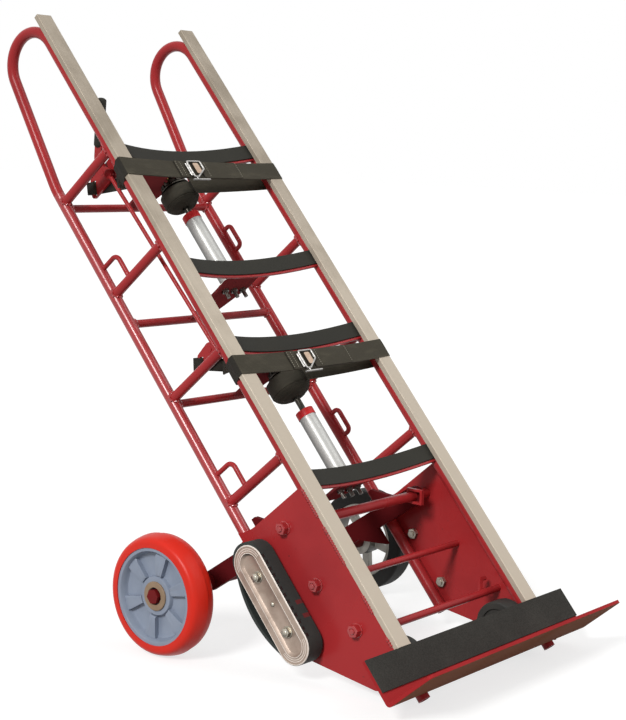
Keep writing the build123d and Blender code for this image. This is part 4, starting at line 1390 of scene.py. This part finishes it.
@dataclass(frozen=True)
class Hang:
    """How a strap lies between the rails: its lift, its slope to the right and its sag in the middle."""

    lift: float
    slope: float
    sag: float

    def at(self, x: float, side: float) -> float:
        """Height above the strap's level at a place across the truck, where side is the rails' place."""
        return self.lift + self.slope * x - self.sag * (1 - (x / side) ** 2)


@dataclass(frozen=True)
class Straps:
    """Woven straps round the rails, doubled and sewn at the buckles, with the buckles' plates.

    Reaches and rows are places across the truck. The hang grows from nothing at hang_start, a place
    forward, to its full size hang_depth further on.
    """

    shop: Workshop
    upper: Hang = Hang(0.0025, -0.020, 0.0067)
    lower: Hang = Hang(0.0040, -0.005, 0.0065)
    hang_start: float = -0.060
    hang_depth: float = 0.035
    margin: float = 0.010
    thickness: float = 0.0025
    corner: float = 0.0032
    facet: float = 0.012
    wave: float = 0.0007
    wave_rate: float = 31.0
    wave_skew: float = 2.0
    hug_reach: float = 0.0075
    tube_gap: float = 0.0015
    turn_reach: float = 0.007
    turn_gap: float = 0.004
    roll_gap: float = 0.0015
    back_reach: Pair = (-0.080, -0.0575)
    fold_reach: Pair = (-0.016, 0.092)
    fold_width: float = 0.985
    fold_proud: float = 0.0011
    sewn_proud: float = 0.0023
    rows: tuple[float, ...] = (0.0905, 0.0, -0.0785, -0.0675)
    row_margin: float = 0.004
    stitch: float = 0.0032
    stitch_gap: float = 0.0012
    thread: float = 0.0006
    plate_middle: Pair = (-0.027, -0.002)
    plate_size: Triple = (0.015, 0.025, 0.0012)
    plate_corner: float = 0.003

    def build(self) -> None:
        """Make both straps, their folds, their stitching and the buckles' plates."""
        stitches = bmesh.new()
        plates = bmesh.new()
        for name, hang in (("upper", self.upper), ("lower", self.lower)):
            node = name + "_strap"
            extent = self.shop.rails.extent(node)
            level, width = extent.middle.y, extent.span("y")
            mesh = self._ribbon(self._route(name, extent), level, width)
            fold = extent.high.z + self.fold_proud
            for start, end in (self.back_reach, self.fold_reach):
                join(mesh, self._ribbon([(start, fold), (end, fold)], level, width * self.fold_width))
            sewn = extent.high.z + self.sewn_proud
            for row in self.rows:
                self._sew(stitches, row, extent, sewn)
            self._plate(plates, level, sewn)
            for drawing in (mesh, stitches):
                self._hang(drawing, hang, extent)
            self.shop.piece(name + "_webbing", mesh, Slot.WEBBING, "frame", [node])
        thread = Thread("sewing_thread", tone(150, 145, 130), tone(112, 108, 96), 0.6).material()
        self.shop.piece("strap_stitching", stitches, Slot.WEBBING, "frame", finish=thread)
        warm = Plating("warm_chrome", tone(206, 182, 160), tone(160, 132, 110), 0.22, 160.0, 0.3).material()
        self.shop.piece("buckle_plates", plates, Slot.CHROME, "frame", finish=warm)

    def _route(self, name: str, extent: Extent) -> list[Pair]:
        """Corners of a strap's middle line, from behind the left rail round the front to its reel.

        Args:
            name: upper or lower.
            extent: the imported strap's box.

        Returns:
            Cross and forward places.
        """
        rails = self.shop.rails
        strip = rails.extent("right_rail_strip")
        tube = rails.extent("right_front_tube")
        roll = rails.extent(name + "_strap_roll")
        side = extent.high.x - self.thickness / 2
        front = extent.high.z - self.thickness / 2
        hug = tube.low.z - self.thickness
        return [(-tube.middle.x, hug), (-tube.middle.x - self.hug_reach, hug),
                (-tube.high.x - self.tube_gap, tube.middle.z), (-side, strip.low.z), (-side, front),
                (side, front), (side, tube.middle.z),
                (strip.middle.x + self.turn_reach, tube.low.z - self.turn_gap),
                (0.0, roll.high.z + self.roll_gap)]

    def _hang(self, mesh: Mesh, hang: Hang, extent: Extent) -> None:
        """Let what lies on one strap hang as the strap does.

        Args:
            mesh: the drawing, which may hold another strap's things too.
            hang: how the strap lies.
            extent: the strap's box.
        """
        side = extent.high.x - self.thickness / 2
        for vert in mesh.verts:
            if extent.low.y - self.margin < vert.co.y < extent.high.y + self.margin:
                share = max(0.0, min(1.0, (vert.co.z - self.hang_start) / self.hang_depth))
                vert.co.y += share * hang.at(vert.co.x, side)

    def _ribbon(self, route: Sequence[Pair], level: float, width: float) -> Mesh:
        """A strap of webbing along a route of cross and forward places.

        Args:
            route: the corners of its middle line.
            level: height of its middle up the rails.
            width: the strap's width.

        Returns:
            The drawing.
        """
        mesh = bmesh.new()
        corners = [mesh.verts.new((x, level - width / 2, n)) for x, n in route]
        for pair in zip(corners, corners[1:]):
            mesh.edges.new(pair)
        if len(corners) > 2:
            rounded(mesh, corners[1:-1], self.corner, 5, "VERTICES")
        for edge in mesh.edges[:]:
            cuts = int(edge.calc_length() / self.facet)
            if cuts:
                bmesh.ops.subdivide_edges(mesh, edges=[edge], cuts=cuts)
        grown = bmesh.ops.extrude_edge_only(mesh, edges=mesh.edges[:])["geom"]
        bmesh.ops.translate(mesh, verts=only(Vert, grown), vec=(0, width, 0))
        rungs = [edge for edge in mesh.edges if run_along(edge, "y") > width / 2]
        bmesh.ops.subdivide_edges(mesh, edges=rungs, cuts=5, use_grid_fill=True)
        outward(mesh)
        for vert in mesh.verts:
            share = (vert.co.y - level) / width
            ripple = math.sin(self.wave_rate * vert.co.x + self.wave_skew * share)
            vert.co.z += self.wave * math.cos(math.pi * share) * ripple
        bmesh.ops.solidify(mesh, geom=mesh.faces[:] + mesh.edges[:] + mesh.verts[:], thickness=self.thickness)
        return outward(mesh)

    def _plate(self, mesh: Mesh, level: float, front: float) -> None:
        """Draw the small plate that the buckle's loop swings on.

        Args:
            mesh: the drawing that takes it.
            level: the strap's height up the rails.
            front: the face that it lies on.
        """
        plate = bmesh.new()
        bmesh.ops.create_cube(plate, size=1.0, matrix=Matrix.Diagonal((*self.plate_size, 1.0)))
        upright = [edge for edge in plate.edges if run_along(edge, "z") > MERGED]
        rounded(plate, upright, self.plate_corner, 4)
        x, rise = self.plate_middle
        join(mesh, placed(plate, Matrix.Translation((x, level + rise, front + self.plate_size[2] / 2))))

    def _sew(self, mesh: Mesh, x: float, extent: Extent, front: float) -> None:
        """Sew one row of stitches across a strap.

        Args:
            mesh: the drawing that takes them.
            x: place of the row across the truck.
            extent: the strap's box.
            front: the face that is sewn.
        """
        pitch = self.stitch + self.stitch_gap
        count = int((extent.span("y") - self.row_margin) / pitch)
        shape = Matrix.Diagonal((self.thread, self.stitch / 2, self.thread, 1.0))
        for step in range(count):
            height = extent.middle.y + (step - (count - 1) / 2) * pitch
            place = Matrix.Translation((x, height, front)) @ shape
            bmesh.ops.create_icosphere(mesh, subdivisions=1, radius=1.0, matrix=place)


@dataclass(frozen=True)
class StrapTails:
    """Strap ends that run from the left rail through the slotted cranks.

    start_depth, where behind its front a tail would start to leave the frame, and end_depth, where before its
    rear it would follow its crank, are not used.
    """

    shop: Workshop
    long_edge: float = 0.02
    start_depth: float = 0.030
    end_depth: float = 0.022

    def build(self) -> None:
        """Cut each tail at the left front tube's middle, close the cut and subdivide its long edges, as a
        piece on no body.
        """
        rails = self.shop.rails
        seat = rails.extent("left_front_tube").middle.x
        for name, crank in (("upper", "lever"), ("lower", "second_crank")):
            node = name + "_strap_tail"
            extent = rails.extent(node)
            mesh = bmesh.new()
            mesh.from_mesh(self.shop.nodes[node].data)
            bmesh.ops.remove_doubles(mesh, verts=mesh.verts, dist=SEAM)
            placed(mesh, rails.matrix.inverted())
            cut = bmesh.ops.bisect_plane(mesh, geom=mesh.faces[:] + mesh.edges[:] + mesh.verts[:],
                                         plane_co=(seat, 0, 0), plane_no=(-1, 0, 0), clear_outer=True)
            bmesh.ops.holes_fill(mesh, edges=only(Edge, cut["geom_cut"]))
            long_edges = [edge for edge in mesh.edges if edge.calc_length() > self.long_edge]
            bmesh.ops.subdivide_edges(mesh, edges=long_edges, cuts=5, use_grid_fill=True)
            piece = self.shop.piece(name + "_tail", mesh, Slot.WEBBING, "", [node])
            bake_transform(piece)


@dataclass(frozen=True)
class LeverGrip:
    """The lever's hand grip: a moulded sleeve, waisted and rounded at both ends."""

    shop: Workshop
    radius: float = 0.0102
    waist: float = 0.0004
    end: float = 0.0060
    steps: int = 32

    def build(self) -> None:
        """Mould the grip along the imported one's middle line."""
        start, finish = self.shop.rails.spine("lever_grip")
        length = (finish - start).length
        curve = [(self.radius * math.sin(angle), self.end * (1 - math.cos(angle)))
                 for angle in (0.0, 0.4, 0.8, 1.2, math.pi / 2)]
        straight = length - 2 * self.end
        body = [(self.radius - self.waist * math.sin(math.pi * share), self.end + straight * share)
                for share in (0.15, 0.3, 0.5, 0.7, 0.85)]
        far = [(radius, length - height) for radius, height in reversed(curve)]
        turn = Vector((0, 0, 1)).rotation_difference(finish - start).to_matrix().to_4x4()
        mesh = placed(turned(curve + body + far, self.steps), Matrix.Translation(start) @ turn)
        self.shop.piece("moulded_grip", mesh, Slot.BLACK_RUBBER, "lever", ["lever_grip"])


@dataclass(frozen=True)
class LeftWheel:
    """The left wheel's ribbed hub, its poured tread, swollen between its edges, and its bearing's face.

    The rim's sections are given inwards from its radius and the boss's by radius. A lip's heights are
    counted down from its face, and a root's up from the web. Tread shares are parts of half its width.
    """

    shop: Workshop
    bearing_outer: float = 0.0265
    bearing_bore: float = 0.0152
    bearing_face: float = 0.0034
    bearing_ease: float = 0.0012
    bearing_edges: Pair = (0.00238, 0.00204)
    bearing_seat: float = 0.010
    bearing_steps: int = 48
    swell: float = 0.0080
    crest: float = 0.25
    edge: float = 0.0075
    overlap: float = 0.0012
    parting: float = -0.16
    parting_half: float = 0.02
    parting_step: float = 0.0018
    tread_shares: tuple[float, ...] = (1.0, 0.985, 0.95, 0.90, 0.84, 0.70, 0.50, 0.25)
    tread_steps: int = 96
    hub_inset: float = 0.0020
    hub_steps: int = 72
    rim_lip: tuple[Pair, ...] = ((0.0, 0.0010), (0.0010, 0.0), (0.0070, 0.0), (0.0084, 0.0012))
    rim_root: tuple[Pair, ...] = ((0.0105, 0.0060), (0.0130, 0.0016), (0.0170, 0.0))
    boss_root: tuple[Pair, ...] = ((0.0405, 0.0), (0.0378, 0.0010), (0.0364, 0.0036))
    boss_lip: tuple[Pair, ...] = ((0.0358, 0.0012), (0.0346, 0.0))
    boss_drop: float = 0.0080
    web: float = 0.0070
    bore: float = 0.0155
    inner_boss: Pair = (0.0350, 0.0400)
    inner_rim: Pair = (0.0150, 0.0080)
    ribs: int = 6
    rib_angle: float = 20.0
    rib_phase: float = 28.0
    rib_start: float = 0.0378
    rib_end: float = 0.0120
    rib_outer: float = 0.0140
    rib_top: float = 0.0165
    rib_reach: float = 0.0805
    rib_round: float = 0.0022

    def build(self) -> None:
        """Make the bearing's nylon face, the tread and the hub."""
        rails = self.shop.rails
        tread = rails.extent("left_wheel_tread")
        rim = rails.extent("left_wheel_hub").span("z") / 2
        middle = tread.middle
        boss = Vector((tread.low.x + self.bearing_seat, middle.y, middle.z))
        nylon = Moulding("bearing_nylon", tone(150, 128, 104), tone(122, 98, 76), 0.45).material()
        face = placed(self._bearing(), across(-1, boss))
        self.shop.piece("left_bearing_face", face, Slot.HUB_PLASTIC, "left_wheel", finish=nylon)
        band = placed(self._tread(tread.span("z") / 2, rim, tread.span("x")), across(-1, middle))
        self.shop.piece("left_poured_tread", band, Slot.RED_TREAD, "left_wheel", ["left_wheel_tread"])
        dish = placed(self._hub(rim, tread.span("x") / 2 - self.hub_inset), across(-1, middle))
        self.shop.piece("left_moulded_hub", dish, Slot.HUB_PLASTIC, "left_wheel", ["left_wheel_hub"])

    def _bearing(self) -> Mesh:
        """A ring with eased corners, standing on zero about the third axis.

        Returns:
            The drawing.
        """
        bore, outer, top, ease = self.bearing_bore, self.bearing_outer, self.bearing_face, self.bearing_ease
        outer_edge, bore_edge = self.bearing_edges
        return turned([(bore, 0.0), (outer, 0.0), (outer, outer_edge), (outer - ease, top),
                       (bore + ease, top), (bore, bore_edge)], self.bearing_steps)

    def _hub(self, rim: float, half: float) -> Mesh:
        """A dished hub about the third axis, with raised ribs on its outer web.

        Args:
            rim: its outer radius.
            half: half of the rim's width.

        Returns:
            The drawing, with its middle on zero.
        """
        boss = half - self.boss_drop
        profile = [(rim - inward, half - down) for inward, down in self.rim_lip]
        profile += [(rim - inward, self.web + rise) for inward, rise in self.rim_root]
        profile += [(radius, self.web + rise) for radius, rise in self.boss_root]
        profile += [(radius, boss - down) for radius, down in self.boss_lip]
        profile += [(self.bore, boss), (self.bore, -half), (self.inner_boss[0], -half),
                    (self.inner_boss[1], -self.web), (rim - self.inner_rim[0], -self.web),
                    (rim - self.inner_rim[1], -half), (rim, -half)]
        mesh = turned(profile, self.hub_steps)
        chosen = []
        for face in mesh.faces:
            spot = face.calc_center_median()
            turn = math.degrees(math.atan2(spot.y, spot.x)) - self.rib_phase
            on_web = self.rib_start < spot.to_2d().length < rim - self.rib_end and face.normal.z > 0.5
            if on_web and turn % (360 / self.ribs) < self.rib_angle:
                chosen.append(face)
        grown = bmesh.ops.extrude_face_region(mesh, geom=chosen)["geom"]
        for vert in only(Vert, grown):
            vert.co.z = self.rib_top
            if vert.co.to_2d().length > rim - self.rib_outer:
                vert.co.xy = vert.co.xy * (self.rib_reach / vert.co.to_2d().length)
        tops = set(only(Face, grown))
        crests = [edge for edge in mesh.edges if len(tops.intersection(edge.link_faces)) == 1]
        rounded(mesh, crests, self.rib_round, 3, clamp=True)
        return outward(mesh)

    def _tread(self, radius: float, seat: float, width: float) -> Mesh:
        """A poured tread about the third axis.

        Args:
            radius: radius before its outer edge is rounded.
            seat: radius of the hub that it is poured on.
            width: its width.

        Returns:
            The drawing, with its middle on zero.
        """
        half = width / 2
        seat -= self.overlap
        parted = (self.parting + self.parting_half, self.parting - self.parting_half)
        profile = [(seat, half)]
        for share in (*self.tread_shares, 0.0, *parted, *(-share for share in reversed(self.tread_shares))):
            corner = max(0.0, abs(share) * half - (half - self.edge)) / self.edge
            lean = (share + self.crest) / (1 + self.crest)
            reach = radius + self.swell * math.cos(math.pi / 2 * lean)
            reach -= self.edge * (1 - math.sqrt(1 - corner ** 2))
            if share < self.parting:
                reach -= self.parting_step
            profile.append((reach, share * half))
        return turned([*profile, (seat, -half)], self.tread_steps)


@dataclass(frozen=True)
class Studio:
    """Pale floor, soft light and the camera at the photograph's view."""

    eye: Triple = (-2.3029, -1.9488, 0.9157)
    aim: Triple = (0.0760, -0.0048, 0.5014)
    roll: float = math.radians(1.97)
    lens: float = 79.91
    floor_level: float = 0.0
    floor_size: float = 60.0
    floor_tone: Colour = (0.36, 0.36, 0.355)
    floor_lift: float = 0.72
    sky: float = 0.40
    key: float = 2.3
    key_way: Triple = (0.80, 0.15, -0.58)
    key_width: float = 14.0
    fill: float = 0.7
    fill_way: Triple = (-0.35, 0.60, -0.72)
    fill_width: float = 40.0

    def build(self) -> None:
        """Set up floor, world, lamps and camera."""
        self._floor()
        self._world()
        self._lamp("key", self.key, self.key_way, self.key_width)
        self._lamp("fill", self.fill, self.fill_way, self.fill_width)
        self._camera()
        bpy.context.scene.view_settings.view_transform = "Standard"

    def _floor(self) -> None:
        """A wide floor that reads as white to the eye and keeps the shadow."""
        mesh = bmesh.new()
        bmesh.ops.create_grid(mesh, x_segments=1, y_segments=1, size=self.floor_size / 2,
                              matrix=Matrix.Translation((0, 0, self.floor_level)))
        data = bpy.data.meshes.new("floor")
        mesh.to_mesh(data)
        mesh.free()
        floor = bpy.data.objects.new("floor", data)
        bpy.context.scene.collection.objects.link(floor)
        graph = Graph.named("studio_floor")
        grain = graph.noise(graph.place(), 40.0, 2.0)
        speckled = graph.mix(grain * 0.04, self.floor_tone, (1.0, 1.0, 1.0))
        diffuse = graph.node("ShaderNodeBsdfDiffuse", {}, {"Color": speckled})
        glow = graph.mix(self._seen(graph) * self.floor_lift, (0.0, 0.0, 0.0), (1.0, 1.0, 1.0))
        lift = graph.node("ShaderNodeEmission", {}, {"Color": glow})
        both = graph.node("ShaderNodeAddShader", {}, {0: diffuse, 1: lift})
        graph.node("ShaderNodeOutputMaterial", {}, {"Surface": both})
        data.materials.append(graph.owner)
        floor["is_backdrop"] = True

    @staticmethod
    def _seen(graph: Graph) -> Socket:
        """One for rays from the eye or seen in a reflection or through glass.

        Args:
            graph: the nodes that take it.

        Returns:
            The value.
        """
        seen, mirrored, through = (graph.node("ShaderNodeLightPath", {}, {}, name)
                                   for name in ("Is Camera Ray", "Is Glossy Ray", "Is Transmission Ray"))
        return seen.math("MAXIMUM", seen.math("MAXIMUM", seen, mirrored), through)

    def _world(self) -> None:
        """White to the eye, a plain soft light to the truck."""
        world = bpy.data.worlds.new("studio")
        bpy.context.scene.world = world
        graph = Graph(world)
        strength = self.sky + self._seen(graph) * (1.0 - self.sky)
        sky = graph.node("ShaderNodeBackground", {}, {"Color": (1.0, 1.0, 1.0), "Strength": strength})
        graph.node("ShaderNodeOutputWorld", {}, {"Surface": sky})

    @staticmethod
    def _lamp(name: str, strength: float, way: Triple, width: float) -> None:
        """A distant lamp.

        Args:
            name: the lamp's name.
            strength: its light.
            way: the direction that it shines in.
            width: how wide it looks, in degrees.
        """
        data = bpy.data.lights.new(name, "SUN")
        data.energy = strength
        data.angle = math.radians(width)
        lamp = bpy.data.objects.new(name, data)
        lamp.rotation_euler = Vector(way).to_track_quat("-Z", "Y").to_euler()
        bpy.context.scene.collection.objects.link(lamp)

    def _camera(self) -> None:
        """The photograph's camera, with its slight roll."""
        data = bpy.data.cameras.new("camera")
        data.lens = self.lens
        camera = bpy.data.objects.new("camera", data)
        aimed = (Vector(self.aim) - Vector(self.eye)).to_track_quat("-Z", "Y").to_matrix().to_4x4()
        camera.matrix_world = Matrix.Translation(self.eye) @ aimed @ Matrix.Rotation(self.roll, 4, "Z")
        bpy.context.scene.collection.objects.link(camera)
        bpy.context.scene.camera = camera


def finishes(rails: RailFrame) -> dict[Slot, Material]:
    """The truck's finishes, one for each slot of the record.

    Args:
        rails: the truck's axes.

    Returns:
        The materials by slot.
    """
    lean = rails.lean
    kinds = {
        Slot.RED_PAINT: Enamel("red_enamel", 0.26, 0.18),
        Slot.RAIL_ALUMINIUM: Extrusion("extruded_strip", tone(188, 176, 159), tone(116, 104, 87), lean),
        Slot.BLACK_RUBBER: Rubber("black_rubber", tone(44, 43, 38), tone(62, 60, 54), 0.80, 700.0, 0.0004),
        Slot.WEBBING: Weave("strap_webbing", tone(56, 52, 42), tone(90, 84, 70), lean),
        Slot.CHROME: Plating("bright_chrome", tone(186, 184, 180), tone(140, 138, 134), 0.42, 160.0),
        Slot.GALVANISED: DrawnTube("galvanised_tube", tone(190, 190, 186), tone(70, 70, 67), lean,
                                   tuple(-rails.forward)),
        Slot.BRASS: Plating("yellow_zinc", tone(190, 160, 92), tone(140, 110, 58), 0.26, 150.0),
        Slot.ZINC: Plating("zinc_plate", tone(204, 198, 184), tone(150, 140, 122), 0.30, 220.0),
        Slot.CAST_COVER: Casting("cast_aluminium", tone(176, 158, 144), tone(122, 103, 90), 0.50),
        Slot.RED_TREAD: Rubber("poured_tread", tone(214, 40, 24), tone(196, 46, 32), 0.38, 420.0, 0.0001),
        Slot.HUB_PLASTIC: Moulding("hub_plastic", tone(138, 147, 163), tone(120, 130, 147), 0.22),
        Slot.TYRE_RUBBER: Rubber("tyre_rubber", tone(30, 30, 29), tone(50, 48, 44), 0.74, 520.0, 0.0005),
        Slot.CAST_HUB: Casting("cast_hub", tone(150, 147, 140), tone(96, 92, 86), 0.60),
        Slot.DARK_RUBBER: Rubber("caster_rubber", tone(46, 46, 44), tone(70, 67, 62), 0.66, 480.0, 0.0003),
        Slot.ROLLER_PLASTIC: Moulding("roller_plastic", tone(60, 60, 60), tone(44, 44, 44), 0.48),
    }
    return {slot: kind.material() for slot, kind in kinds.items()}


def own_finishes(rails: RailFrame) -> dict[str, Material]:
    """Finishes of single nodes that differ from the rest of their slot.

    Args:
        rails: the truck's axes.

    Returns:
        The materials by node.
    """
    below = tuple(-rails.up)
    kinds = {
        ("grip_strip",): GritFacing("grit_facing", tone(50, 49, 46), tone(74, 73, 68)),
        # The toe plate's brown underside is painted shade, tinted as a painted reflection of a warm floor.
        ("toe_plate",): Enamel("toe_enamel", 0.30, 0.03, dull=tone(112, 62, 34), dull_way=below),
        ("reel_plates",): Enamel("shaded_enamel", 0.60, 0.0, tone(150, 66, 68), tone(128, 58, 60)),
        # The axle's ends take a darker red than the frame's paint.
        ("carriage_axle",): Enamel("worn_enamel", 0.40, 0.10, tone(112, 24, 26), tone(70, 24, 22)),
        # The arms' dark red is painted shade, a shaded copy of the frame's paint where they lie under the
        # pivot tube.
        ("left_arm", "right_arm"): Enamel("arm_enamel", 0.50, 0.02, tone(96, 24, 27), tone(74, 20, 24)),
        ("left_rear_tube",): Enamel("tube_enamel", 0.26, 0.60, peel=0.01),
        # The reel shafts take a darker steel than the plating elsewhere.
        ("upper_reel_shaft", "lower_reel_shaft"): Plating("oiled_steel", tone(76, 72, 66), tone(50, 46, 42),
                                                          0.30, 200.0),
        ("spring_caps",): Moulding("cap_plastic", tone(206, 28, 30), tone(186, 24, 28), 0.36),
        ("spring_bolts",): Plating("dull_zinc", tone(150, 146, 138), tone(96, 92, 86), 0.30, 200.0),
    }
    made = {}
    for nodes, kind in kinds.items():
        made.update(dict.fromkeys(nodes, kind.material()))
    return made


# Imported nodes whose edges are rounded, and by how much.
EASED = {
    "left_rail_strip": 0.0008, "right_rail_strip": 0.0008, "toe_plate": 0.0012, "crossbars": 0.0010,
    "crossbar_pads": 0.0008, "right_wheel_hub": 0.0012,
}


def main() -> None:
    """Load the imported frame, dress it and set up the studio."""
    logging.basicConfig(level=logging.INFO, format="%(name)s: %(message)s")
    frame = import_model()
    rails = RailFrame.read(frame["joints"])
    shop = Workshop(rails, frame["nodes"], finishes(rails))
    shop.dress(frame["record"], own_finishes(rails))
    for name, width in EASED.items():
        shop.ease(name, width)
    for assembly in (SideFrames, PlateBolts, StairClimbers, ReelPlateEar, StrapRolls, Straps, StrapTails,
                     LeverGrip, LeftWheel):
        assembly(shop).build()
    dressed = [list(corner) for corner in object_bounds()]
    Studio(floor_level=dressed[0][2]).build()


if __name__ == "__main__":
    main()
